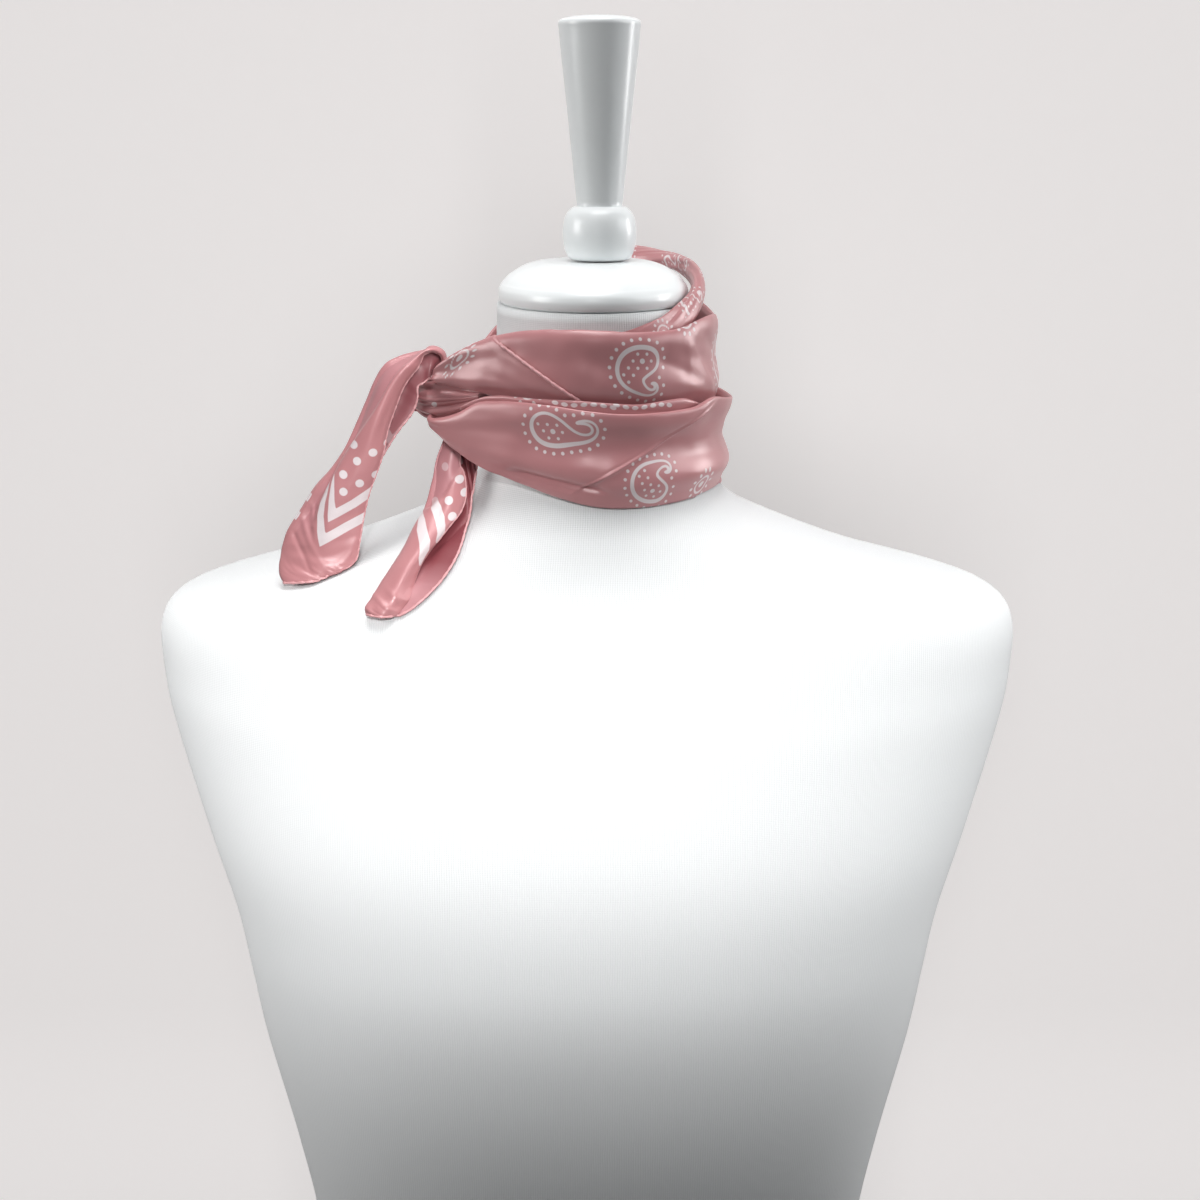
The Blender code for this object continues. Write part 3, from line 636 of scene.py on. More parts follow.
def bodyReach(points):
    # below 1 inside the body, 1 on it, above 1 outside
    table = np.array(bodyPlan["sections"], float)
    width, front, back, square, shift = (
        np.interp(points[..., 2], table[:, 0], table[:, k]) for k in range(1, 6))
    depth = np.where(points[..., 1] < 0, front, back)
    across = np.abs((points[..., 0] - shift) / width) ** square
    return (across + np.abs(points[..., 1] / depth) ** square) ** (1 / square)


outSearch = {"from": -20.0, "to": 200.0, "halvings": 22}
clearPlan = {"passes": 8, "probe": 0.5, "pace": 0.8, "most": 6.0}  # most mm moved in a pass


def bodyOut(z, phi):
    # how far out from the neck the body's surface is, closed in on by halves
    low, high = (np.full(np.shape(z), outSearch[end]) for end in ("from", "to"))
    for _ in range(outSearch["halvings"]):
        middle = (low + high) / 2
        x, y = aroundNeck(phi, middle)
        inside = bodyReach(np.stack([x, y, z], axis=-1)) < 1
        low, high = np.where(inside, middle, low), np.where(inside, high, middle)
    return high


def clearOfBody(points, clearance):
    # points nearer the body than the clearance in mm are moved out along its slope
    points, probes = np.array(points, float), clearPlan["probe"] * np.eye(3)
    for _ in range(clearPlan["passes"]):
        here = bodyReach(points)
        slope = np.stack([bodyReach(points + probe) - bodyReach(points - probe) for probe in probes], axis=-1)
        steep = np.linalg.norm(slope, axis=-1)
        short = np.clip(clearance - (here - 1) / steep, 0, clearPlan["most"])
        points += clearPlan["pace"] * short[..., None] * slope / steep[..., None]
    return points


def jerseyMaterial(plan):
    made, tree, shader = newMaterial("white ribbed jersey")
    link = tree.links.new
    uv = addNode(tree, "ShaderNodeUVMap", uv_map="clothMillimetres").outputs[0]
    place = addNode(tree, "ShaderNodeTexCoord").outputs["Object"]
    parts = addNode(tree, "ShaderNodeSeparateXYZ")
    link(uv, parts.inputs[0])
    drift = noiseNode(tree, uv, *plan["ribDrift"])
    wander = mathNode(tree, "MULTIPLY_ADD", drift, plan["driftWidth"], parts.outputs[0])
    rib = mathNode(tree, "MULTIPLY_ADD", waveNode(tree, wander, plan["ribStep"]), 0.5, 0.5)
    course = waveNode(tree, parts.outputs[1], plan["stitchStep"])
    stitch = mathNode(tree, "MULTIPLY_ADD", course, plan["stitchDepth"], rib)
    fuzz = noiseNode(tree, uv, *plan["fuzz"])
    tone = mixColours(tree, noiseNode(tree, place, *plan["cloud"]), plan["shade"], plan["white"])
    tone = mixColours(tree, plan["even"], tone, plan["white"])
    # painted shade between the ribs
    paintedRibShade = mathNode(tree, "MULTIPLY_ADD", rib, plan["paintedRibShade"], 1 - plan["paintedRibShade"])
    speck = mathNode(tree, "MULTIPLY_ADD", fuzz, plan["speck"], 1 - 0.5 * plan["speck"])
    value = mathNode(tree, "MULTIPLY", paintedRibShade, speck)
    shadeOf = addNode(tree, "ShaderNodeCombineColor")
    for channel in range(3):
        link(value, shadeOf.inputs[channel])
    link(mixColours(tree, 1.0, tone, shadeOf.outputs[0], "MULTIPLY"), shader.inputs["Base Color"])
    under = bumpNode(tree, stitch, *plan["ribBump"])
    link(bumpNode(tree, fuzz, *plan["fuzzBump"], under), shader.inputs["Normal"])
    setSockets(shader, plan["finish"])
    return made


def jerseyBody(plan):
    turn = np.linspace(0, 2 * math.pi, plan["sides"], endpoint=False)
    sine, cosine = np.sin(turn), np.cos(turn)
    grid = []
    for z, halfWidth, front, back, square, shift in bodySections(plan):
        power = 2.0 / square
        x = shift + halfWidth * np.sign(sine) * np.abs(sine) ** power
        y = -np.where(cosine > 0, front, back) * np.sign(cosine) * np.abs(cosine) ** power
        grid.append(np.stack([x, y, np.full(plan["sides"], z)], axis=1))
    grid = np.array(grid)
    # the ribs are counted from the middle of the chest, both ways round to the seam behind
    _, crossed = gridLengths(np.concatenate([grid, grid[:, :1]], axis=1))
    around = crossed[:, -1:]
    width = np.where(crossed > around / 2, crossed - around, crossed)[:, :-1]
    height = np.repeat(walkedAlong(grid[:, 0])[:, None], plan["sides"], axis=1)
    flat = np.stack([width, height], axis=-1)
    piece = meshFromGrid("jersey_body", grid, flat, closedAround=True, capped=True)
    piece.data.materials.append(jerseyMaterial(plan))
    settle(piece, "jersey", "torso")
    return piece


jerseyBody(bodyPlan)
print("body covered")


# the turned cap and handle
woodPlan = {
    "white": (0.86, 0.885, 0.89, 1),
    "worn": (0.66, 0.69, 0.70, 1),
    "cloud": (60.0, 4.0),  # scale and detail of each noise
    "cloudWear": 0.22,
    "creases": (0.42, 0.485),  # how hollow a place is where the darker colour starts and is full
    "latheStretch": (8.0, 8.0, 900.0),
    "latheRings": (1.0, 3.0),
    "latheBump": (0.10, 0.0002),
    "peelBump": (0.05, 0.0003),
    "roughness": (0.12, 0.26),  # spread and least
    "finish": {"Coat Weight": 0.25, "Coat Roughness": 0.18},
    "sides": 128,
    "capWidth": 43.0,
    "capDepth": 54.0,
    "capThick": 18.3,
    "capGap": 0.3,  # between the jersey's top and the cap
    "ballGap": 0.6,  # how far the ball's foot is above the cap
    "ballHeight": 24.0,
    "coneFoot": 10.3,
    "coneTop": 18.2,
    "coneHeight": 78.6,
    "coneRings": 18,
    "coneFlare": 1.04,
    "coneShoulder": (0.975, 6),  # share of the top's width, and mm below it, where the cone's side ends
    "handleOff": 2.8,
}


def paintMaterial(plan):
    made, tree, shader = newMaterial("white painted wood")
    link = tree.links.new
    place = addNode(tree, "ShaderNodeTexCoord").outputs["Object"]
    cloud = noiseNode(tree, place, *plan["cloud"])
    # the lathe's rings show faintly through the paint
    turning = noiseNode(tree, stretched(tree, place, plan["latheStretch"]), *plan["latheRings"])
    crease = addNode(tree, "ShaderNodeNewGeometry").outputs["Pointiness"]
    deep, even = plan["creases"]
    # concave places, such as the joints between the turned parts, take the darker colour
    hollow = rampNode(tree, crease, [(deep, (1, 1, 1, 1)), (even, (0, 0, 0, 1))])
    tone = mixColours(tree, mathNode(tree, "MULTIPLY", cloud, plan["cloudWear"]), plan["white"], plan["worn"])
    link(mixColours(tree, hollow, tone, plan["worn"]), shader.inputs["Base Color"])
    under = bumpNode(tree, turning, *plan["latheBump"])
    link(bumpNode(tree, cloud, *plan["peelBump"], under), shader.inputs["Normal"])
    link(mathNode(tree, "MULTIPLY_ADD", cloud, *plan["roughness"]), shader.inputs["Roughness"])
    setSockets(shader, plan["finish"])
    return made


paintedWood = paintMaterial(woodPlan)


def roundedProfile(points, perSpan=5):
    return throughRows(points, perSpan * (len(points) - 1) + 1)


def turnedPiece(name, profile, stretch, place):
    # a disc drawn up ring by ring along its profile, as on a lathe; profile rows are radius and height
    bpy.ops.object.select_all(action="DESELECT")
    first = profile[0]
    bpy.ops.mesh.primitive_circle_add(
        vertices=woodPlan["sides"], radius=first[0] * mm, fill_type="NGON", calc_uvs=False,
        location=(place * mm, 0, first[1] * mm))
    piece = bpy.context.active_object
    piece.name = piece.data.name = name
    bpy.ops.object.transform_apply(location=True, rotation=True, scale=True)
    bpy.ops.object.mode_set(mode="EDIT")
    bpy.ops.mesh.select_all(action="SELECT")
    bpy.ops.transform.resize(value=(stretch[0], stretch[1], 1), center_override=(place * mm, 0, 0))
    for last, here in zip(profile[:-1], profile[1:]):
        bpy.ops.mesh.extrude_region_move(TRANSFORM_OT_translate={"value": (0, 0, (here[1] - last[1]) * mm)})
        size = here[0] / last[0]
        bpy.ops.transform.resize(value=(size, size, 1), center_override=(place * mm, 0, here[1] * mm))
    bpy.ops.mesh.select_all(action="SELECT")
    bpy.ops.mesh.remove_doubles(threshold=0.000002)
    bpy.ops.mesh.normals_make_consistent(inside=False)
    bpy.ops.object.mode_set(mode="OBJECT")
    bpy.ops.object.shade_smooth_by_angle(angle=math.radians(50))
    piece.data.materials.clear()
    piece.data.materials.append(paintedWood)
    return piece


def neckCap(plan):
    # the outline's rows are shares of the cap's half width and of its thickness
    foot = neck["top"] + plan["capGap"]
    outline = [
        (0.90, 0.0), (0.945, 0.0), (0.972, 0.02), (0.99, 0.07), (1.0, 0.17), (1.0, 0.26), (0.992, 0.36),
        (0.972, 0.45), (0.955, 0.50), (0.915, 0.61), (0.87, 0.70), (0.76, 0.86), (0.64, 0.96), (0.52, 1.0),
        (0.42, 1.0), (0.2, 0.99), (0.02, 0.985),
    ]
    curve = roundedProfile(outline, 4)
    curve[:, 1] = np.clip(curve[:, 1], 0, 1.0)
    profile = [(share * plan["capWidth"], foot + height * plan["capThick"]) for share, height in curve]
    piece = turnedPiece("neck_cap_turned", profile, (1.0, plan["capDepth"] / plan["capWidth"]), neck["x"])
    return settle(piece, "painted_wood", "neck_cap")


def handle(plan):
    foot = neck["top"] + plan["capThick"] + plan["ballGap"]
    ballTop = foot + plan["ballHeight"]
    coneTop = ballTop + plan["coneHeight"]
    ball = [
        (10.6, 0.0), (11.6, 0.15), (13.3, 0.7), (14.7, 2.3), (15.6, 4.6), (16.3, 8.0), (16.6, 11.8),
        (16.4, 15.2), (15.7, 18.6), (14.3, 21.4), (12.6, 23.0), (11.2, 23.75),
    ]
    ball = [(radius, foot + height) for radius, height in ball]
    profile = [tuple(row) for row in roundedProfile(ball, 4)]
    profile += [(10.5, ballTop - 0.15), (10.25, ballTop + 0.5)]
    wide, below = plan["coneShoulder"]
    for share in np.linspace(0.03, 0.97, plan["coneRings"]):
        radius = plan["coneFoot"] + (plan["coneTop"] * wide - plan["coneFoot"]) * share ** plan["coneFlare"]
        profile.append((radius, ballTop + (plan["coneHeight"] - below) * share))
    rim = [
        (18.0, -2.6), (18.2, -1.2), (18.15, -0.2), (17.8, 0.6), (17.0, 1.15), (15.4, 1.7), (12.4, 2.3),
        (8.0, 2.75), (3.0, 2.95), (0.3, 3.0),
    ]
    profile += [(radius, coneTop + rise) for radius, rise in roundedProfile(rim, 3)]
    piece = turnedPiece("turned_handle", profile, (1.0, 1.0), neck["x"] + plan["handleOff"])
    return settle(piece, "painted_wood", "finial")


neckCap(woodPlan)
handle(woodPlan)
print("cap and handle turned")


# the folded bands round the neck, by the angle phi, 0 in front and 90 at the wearer's left
# stations: first, turn and last angle, and how many before and after the turn
# rows: phi, top, low, and how far out the top, waist, belly and low edge stand
# edges of a layer: from phi, z to phi, z, step, softness, reach, and the rolled hem's height
# creases: from phi, z to phi, z, height, half width
# fans of pleats: phi, z of the apex, how many, height, reach, phase
# hems lying on the band: from phi, z to phi, z, radius
# motifs: kind, phi, z, turn, size, flip
upperBand = {
    "name": "upper_wrap_silk",
    "seed": 29,
    "nodes": ("upper_wrap",),
    "stations": (-71.0, 98.0, 274.0, 345, 112),
    "across": 104,
    "lip": 3.0,
    "tuck": (8.0, 8.0),
    "tipTuck": (3.0, 3.0),
    "rows": [
        (-70.5, 650.8, 647.4, 31.8, 32.2, 32.2, 31.6), (-68, 655.0, 646.9, 28.4, 29.2, 29.2, 28.2),
        (-65, 658.8, 646.5, 24.6, 25.8, 25.8, 24.6), (-62, 662.0, 646.0, 21.2, 22.6, 22.6, 21.4),
        (-57, 665.6, 645.0, 16.8, 18.8, 19.2, 17.8), (-50, 668.8, 643.6, 12.2, 15.0, 15.4, 12.8),
        (-40, 671.5, 641.7, 8.0, 11.3, 11.8, 8.6), (-28, 673.0, 640.5, 5.0, 8.5, 9.3, 5.6),
        (-10, 673.6, 639.0, 4.0, 7.3, 8.0, 4.4), (8, 673.1, 637.6, 4.2, 7.2, 8.0, 4.2),
        (27, 672.2, 637.2, 5.8, 7.8, 8.6, 4.9), (45, 672.6, 636.8, 7.2, 8.6, 9.6, 6.4),
        (62, 675.8, 635.5, 9.2, 9.6, 11.2, 8.6), (76, 676.0, 634.5, 10.2, 9.8, 12.0, 10.0),
        (92, 674.5, 634.0, 10.0, 10.0, 12.0, 10.0), (115, 679.0, 635.5, 8.4, 9.4, 11.0, 9.2),
        (145, 684.5, 637.5, 6.0, 8.4, 9.6, 8.0), (180, 682.0, 639.0, 5.2, 7.8, 9.0, 7.4),
        (212, 674.5, 640.5, 6.0, 8.2, 9.2, 7.6), (230, 669.6, 642.0, 7.6, 9.2, 9.8, 8.2),
        (240, 665.8, 642.6, 8.0, 9.8, 10.4, 8.8), (248, 661.2, 643.2, 8.8, 10.8, 11.4, 9.8),
        (258, 656.0, 643.0, 12.0, 13.6, 14.2, 13.0), (264, 652.8, 641.8, 17.0, 18.4, 19.0, 18.0),
        (269, 649.8, 640.8, 24.0, 25.2, 25.8, 25.0), (274, 646.2, 640.4, 32.0, 33.0, 33.4, 32.6),
    ],
    "edges": [
        (-6.5, 644.0, -49.5, 669.5, 0.9, 0.5, 26.0, 0),
        (74, 640.0, 50, 668.0, 0.5, 2.4, 10.0, 0),
        (118, 642.0, 150, 672.0, 0.8, 1.6, 14.0, 0),
        (196, 646.0, 232, 664.0, 0.8, 1.6, 14.0, 0),
    ],
    "creases": [
        (-68, 650, -30, 648, 0.7, 2.6), (-66, 654.5, -34, 664, -0.3, 2.4), (-45, 651, -22, 645.5, -0.6, 2.2),
        (38, 669, 34, 650, -0.4, 2.8), (34, 660, 58, 648, -0.7, 2.8), (40, 650.5, 66, 642, 0.4, 2.6),
        (48, 666, 52, 652, 0.5, 3.0), (-4, 664, 14, 650, -0.8, 5.0), (-46, 662, -26, 655, 0.6, 2.6),
        (44, 666, 74, 660, 0.45, 3.0), (60, 670, 84, 650, -0.5, 3.0), (84, 672, 98, 648, 0.5, 3.2),
        (104, 668, 128, 652, -0.6, 3.0), (136, 676, 172, 660, 0.6, 3.2), (160, 654, 196, 668, -0.6, 3.0),
        (206, 664, 240, 650, 0.6, 2.6), (222, 668, 262, 652, -0.7, 2.2), (236, 648, 268, 648.5, 0.8, 1.8),
    ],
    "fans": [(-77, 649.5, 5.0, 0.55, 22.0, 0.6), (278, 643.0, 5.5, 0.7, 26.0, 2.1)],
    "hems": [(-5.8, 643.6, -49.6, 669.6, 0.70)],
    "motifs": [
        ("round", 26.8, 660.5, 0, 1.0, 1), ("sun", -60.5, 659.0, 0, (1.32, 0.72), 1),
        ("sun", 50.3, 671.4, 0, 1.1, 1), ("round", 88, 652, 40, 1.0, -1), ("sun", 120, 664, 0, 1.0, 1),
        ("long", 146, 668, -20, 1.0, 1), ("sun", 188, 672, 0, 1.0, 1), ("round", 206, 652, 150, 1.0, 1),
        ("sun", 240, 655, 0, 1.0, 1), ("long", 166, 640, 170, 1.0, 1),
    ],
}
lowerBand = {
    "name": "lower_wrap_silk",
    "seed": 27,
    "nodes": ("lower_wrap",),
    "stations": (-73.0, 98.0, 274.0, 345, 112),
    "across": 100,
    "lip": 3.0,
    "tuck": (7.0, 6.0),
    "tipTuck": (7.0, 4.5),
    "rows": [
        (-73, 634.0, 630.0, 34.8, 35.2, 35.2, 34.4), (-69, 631.5, 626.0, 32.0, 32.6, 32.6, 31.4),
        (-64.6, 632.5, 620.8, 28.8, 29.4, 29.4, 27.8), (-58, 636.0, 615.6, 24.0, 24.6, 24.8, 22.6),
        (-51, 641.0, 611.5, 19.6, 20.4, 20.8, 18.2), (-42, 642.3, 608.5, 15.6, 16.0, 16.8, 13.8),
        (-32, 642.6, 605.5, 13.2, 13.0, 13.8, 10.8), (-18, 642.0, 601.5, 11.8, 10.8, 11.8, 8.6),
        (0, 639.8, 597.5, 11.6, 9.8, 11.4, 7.6), (20, 638.1, 596.2, 11.8, 9.8, 11.8, 8.2),
        (36, 638.1, 596.6, 12.8, 10.6, 13.0, 9.8), (49, 638.6, 597.4, 14.4, 11.6, 14.4, 11.4),
        (60, 641.6, 598.5, 16.2, 12.4, 15.6, 12.6), (72, 639.8, 598.8, 18.2, 13.2, 16.6, 13.4),
        (90, 637.6, 598.6, 18.2, 13.4, 17.0, 13.6), (112, 638.5, 600.0, 15.8, 13.0, 16.2, 13.2),
        (145, 642.0, 603.5, 12.8, 12.2, 14.6, 11.6), (180, 644.0, 606.5, 11.8, 11.6, 13.6, 10.6),
        (215, 644.0, 609.5, 12.0, 12.0, 13.6, 10.8), (240, 643.5, 613.5, 13.0, 13.8, 14.6, 12.2),
        (256, 642.5, 619.5, 15.8, 16.8, 17.2, 15.0), (264, 641.2, 624.5, 20.0, 21.0, 21.4, 19.6),
        (269, 640.2, 629.0, 25.8, 26.8, 27.2, 25.8), (274, 639.4, 633.0, 32.6, 33.4, 33.6, 32.6),
    ],
    "edges": [
        (-6, 605.4, 58.5, 637.4, 1.0, 0.5, 14.0, 0.60),
        (-37, 610.0, 4, 603.4, -2.2, 0.7, 7.0, 0.6),
        (104, 606.0, 142, 634.0, 0.8, 1.6, 14.0, 0),
        (186, 612.0, 222, 636.0, 0.8, 1.6, 14.0, 0),
    ],
    "creases": [
        (-70, 628, -34, 626, 0.5, 3.4), (-68, 624, -30, 612, -0.5, 3.0), (-46, 634, -20, 622, -0.45, 3.6),
        (-32, 609.4, -2, 605.0, -1.0, 1.5), (-2, 626, 44, 626, -0.5, 4.5), (-26, 618, 22, 615, 0.5, 4.0),
        (6, 628, 52, 626, -1.5, 6.0), (-44, 617, -2, 613, 1.0, 4.5), (40, 619, 70, 616, -0.9, 3.2),
        (52, 628, 80, 624, 0.8, 3.0), (44, 610, 74, 607, 0.9, 3.4), (-62, 632, -20, 637, 0.7, 3.0),
        (70, 634, 96, 612, 0.5, 3.4), (96, 628, 122, 612, -0.6, 3.0), (130, 626, 166, 612, 0.6, 3.4),
        (150, 636, 190, 622, -0.6, 3.0), (196, 624, 236, 636, 0.6, 3.0), (214, 616, 250, 630, -0.7, 2.6),
        (230, 638, 266, 634, 0.8, 2.0), (240, 622, 268, 630, -0.6, 1.8),
    ],
    "fans": [(-79, 633.0, 4.5, 0.5, 24.0, 1.4), (279, 636.0, 5.5, 0.8, 28.0, 0.4)],
    "hems": [],
    "motifs": [
        ("long", -20.6, 631.9, 3, 1.0, 1), ("round", 29.9, 603.1, -12, 0.94, -1),
        ("sun", 54.8, 603.4, 0, 1.1, 1), ("sun", 84, 626, 0, 1.0, 1), ("long", 104, 614, 30, 1.0, 1),
        ("sun", 146, 630, 0, 1.0, 1), ("round", 168, 618, -60, 1.0, -1), ("sun", 206, 634, 0, 1.0, 1),
        ("long", 222, 622, 200, 1.0, 1), ("sun", 128, 602, 0, 1.0, 1),
    ],
}
middleBand = {
    "name": "middle_fold_silk",
    "seed": 15,
    "nodes": ("middle_fold",),
    "stations": (-62.0, 57.0, 57.0, 260, 0),
    "across": 30,
    "lip": 1.4,
    "tuck": (1.5, 1.5),
    "tipTuck": (2.0, 3.0),
    "rows": [
        (-62, 636.4, 635.6, 22.6, 22.8, 22.6, 22.3), (-57, 640.2, 637.4, 19.0, 19.3, 19.0, 18.6),
        (-52, 642.8, 638.0, 15.9, 16.3, 15.9, 15.5), (-44, 644.2, 636.0, 12.4, 12.7, 12.4, 12.0),
        (-34, 644.0, 635.5, 10.0, 10.2, 9.9, 9.4), (-22, 644.2, 635.5, 8.6, 8.9, 8.5, 8.0),
        (-8, 644.0, 634.0, 7.9, 8.1, 7.8, 7.4), (10, 642.6, 632.0, 7.8, 8.1, 7.7, 7.3),
        (24, 641.8, 631.5, 8.3, 8.6, 8.2, 7.8), (36, 642.6, 631.5, 9.1, 9.4, 9.0, 8.6),
        (47, 642.2, 632.0, 10.2, 10.6, 10.1, 9.7), (57, 639.0, 632.5, 11.6, 11.9, 11.6, 11.2),
    ],
    "edges": [],
    "hems": [],
    "creases": [(-60, 638, -30, 641, 0.3, 0.8), (-40, 643, 0, 640, 0.25, 0.9), (-8, 641, 40, 638, -0.25, 0.9)],
    "fans": [],
    "motifs": [
        ("row", -4, 642.2, -0.5, 1.1, 1), ("row", 24, 640.5, -3, 1.1, 1), ("sun", -31, 647.6, 0, 1.1, 1),
        ("long", -52, 627, 10, 1.0, 1),
    ],
}


reliefPlan = {
    "fall": 3.4,  # how steeply a layer ends
    "bead": (0.1, 0.62, 1.0),  # a hem's bead: where from the edge, half width, share of its height
    "groove": (1.5, 0.5, -0.35),
    "edgeEnds": 26.0,  # how sharply an edge starts and ends
    "crease": (0.8, 3.0, 7.0),  # mm to the sides, how often, and how sharply a crease starts and ends
    "creaseShare": 0.8,
    "pleatGirth": 62.0,
    "pleatWaver": (0.5, 3, 9.0),  # how much, how often round the fan, and mm of radius to a radian
    "pleatStart": (1.0, 6.0),  # mm from the apex where pleats start, and where they are full
    "ripples": (9, 9.0, 34.0),  # waves, shortest and longest
    "rippleHeight": 0.16,
}
foldPlan = {
    "curlShare": 0.28,  # the most of a band's height that its lip and each tuck may take
    "tuckShare": 0.45,
    "outBy": 0.5,
    "clearance": 1.0,
    "face": (0.14, 0.88),  # the seen part of a band's rows, between its tucked lips
    "foldsAbove": (0.10, 0.18),  # where the creases start and are full, below the top and above the low edge
    "foldsBelow": (0.90, 0.82),
}
degreeWidth = 1.08  # mm of cloth to a degree round the neck


def creaseRelief(x, z, creases, crease, stretch=1.0):
    # ridges along straight runs that sway to the sides; stretch turns a crease's own unit into mm
    sway, often, ends = crease
    relief = np.zeros(np.shape(x))
    for fromX, fromZ, toX, toZ, height, half in creases:
        share, side = alongRun(x, z, fromX * stretch, fromZ, toX * stretch, toZ)
        side = side + sway * np.sin(often * share + fromX)
        relief += height * bump(side, 0, half) * between(share, ends)
    return relief


def bandRelief(band, phi, z, flat):
    plan = reliefPlan
    relief = np.zeros(np.shape(phi))
    girth = math.radians(1) * (neck["halfWidth"] + neck["halfDepth"] + 20) / 2
    for fromPhi, fromZ, toPhi, toZ, height, soft, reach, hem in band["edges"]:
        share, side = alongRun(phi * girth, z, fromPhi * girth, fromZ, toPhi * girth, toZ)
        step = height * sigmoid(plan["fall"] * side / soft) * np.exp(-np.clip(side, 0, None) / reach)
        for at, half, part in (plan["bead"], plan["groove"]):
            step = step + part * hem * bump(side, at, half)
        relief += step * between(share, plan["edgeEnds"])
    relief += plan["creaseShare"] * creaseRelief(phi * girth, z, band["creases"], plan["crease"], girth)
    girth = math.radians(1) * plan["pleatGirth"]
    waver, often, winds = plan["pleatWaver"]
    for apexPhi, apexZ, count, height, reach, phase in band["fans"]:
        across, up = (phi - apexPhi) * girth, z - apexZ
        if apexPhi > 180:
            across = -across
        radius = np.hypot(across, up)
        angle = np.arctan2(up, np.maximum(across, 0.5))
        pleat = np.cos(2 * count * angle + phase + waver * np.sin(often * angle + radius / winds))
        relief += height * pleat * np.exp(-radius / reach) * ramp(radius, *plan["pleatStart"])
    return relief + plan["rippleHeight"] * ripples(flat[..., 0], flat[..., 1], band["seed"], *plan["ripples"])


def bandGrid(band):
    first, turn, last, fine, coarse = band["stations"]
    # closer stations in front, where the print is seen
    phis = np.linspace(first, turn, fine)
    if coarse:
        phis = np.r_[phis, np.linspace(turn, last, coarse + 1)[1:]]
    table = np.array(band["rows"], float)
    sections = []
    for top, low, outTop, outWaist, outBelly, outLow in smoothRows(table[:, 0], table[:, 1:], phis):
        height = top - low
        curl = min(band["lip"], foldPlan["curlShare"] * height)
        tuckTop, tuckLow = (min(tuck, foldPlan["tuckShare"] * height) for tuck in band["tuck"])
        # out and up: the tucked top edge, the lip, the face from waist to belly, and the edge tucked below
        section = [
            (outTop - curl - 0.9, top - 0.8 * curl - tuckTop),
            (outTop - 0.95 * curl - 0.3, top - 0.8 * curl - 0.5 * tuckTop),
            (outTop - 0.8 * curl, top - 0.8 * curl),
            (outTop - 0.15 * curl, top - 0.05 * curl),
            (outTop * 0.6 + outWaist * 0.4 + 0.3 * curl, top - 0.12 * height),
            (outWaist, top - 0.40 * height),
            (outBelly, top - 0.71 * height),
            (outLow + 0.2 * (outBelly - outLow), low + 0.11 * height),
            (outLow - 0.4 * curl, low),
            (outLow - 0.6 * curl - 0.5, low + 0.4 * tuckLow),
            (outLow - 0.5 * curl - 0.9, low + tuckLow),
        ]
        sections.append(evenSteps(throughRows(section, 12 * len(section)), band["across"]))
    sections = np.array(sections)
    phi = np.repeat(phis[:, None], band["across"], axis=1)
    out, z = sections[..., 0] + foldPlan["outBy"], sections[..., 1]
    depth, reach = band["tipTuck"]
    out = out - depth * np.clip(1 - (phi - first) / reach, 0, 1) ** 2
    out = np.maximum(out, bodyOut(z, phi) + foldPlan["clearance"])
    x, y = aroundNeck(phi, out)
    grid = np.stack([x, y, z], axis=-1)
    middle = band["across"] // 2
    flat = clothFlat(grid, -1)
    normal = surfaceNormals(grid)
    outward = np.sign(np.sum(normal[:, middle, :2] * (grid[:, middle, :2] - (neck["x"], 0))))
    # the tucked lips stay plain, the face takes the creases
    row = np.linspace(0, 1, band["across"])[None, :]
    onFace = ramp(row, *foldPlan["foldsAbove"]) * ramp(row, *foldPlan["foldsBelow"])
    relief = bandRelief(band, phi, z, flat) * onFace
    return grid + outward * normal * relief[..., None], flat, phi, z, outward


def faceOf(band):
    return slice(*(int(share * band["across"]) for share in foldPlan["face"]))


def farFrom(phi, z, atPhi, atZ):
    return ((phi - atPhi) * degreeWidth) ** 2 + (z - atZ) ** 2


def placeMotifs(band, flat, phi, z):
    # motifs are given by their angle and height on the neck and drawn in the flat cloth
    face = faceOf(band)
    # of two places at the same angle and height the one nearer the middle is the front
    offMiddle = np.linspace(-0.5, 0.5, band["across"])[face] ** 2
    placed = []
    for kind, atPhi, atZ, turn, size, flip in band["motifs"]:
        far = farFrom(phi[:, face], z[:, face], atPhi, atZ) + 0.5 * offMiddle
        row, column = np.unravel_index(far.argmin(), far.shape)
        x, y = flat[:, face][row, column]
        placed.append((kind, x, y + atZ - z[:, face][row, column], turn, size, flip))
    return placed


hemPlan = {
    "sides": 9,
    "upward": (0.13, 0.31, 0.94),  # a direction that no hem runs along
    "swells": [(0.16, 4.1, 0), (0.10, 2.3, 1)],  # share of the radius, mm from one to the next, phase
    "taper": 1.5,  # mm at each end
    "endShare": 0.25,
    "points": 90,  # along a line laid on a band, each the middle of its nearest points
    "nearest": 5,
    "passes": 6,
}


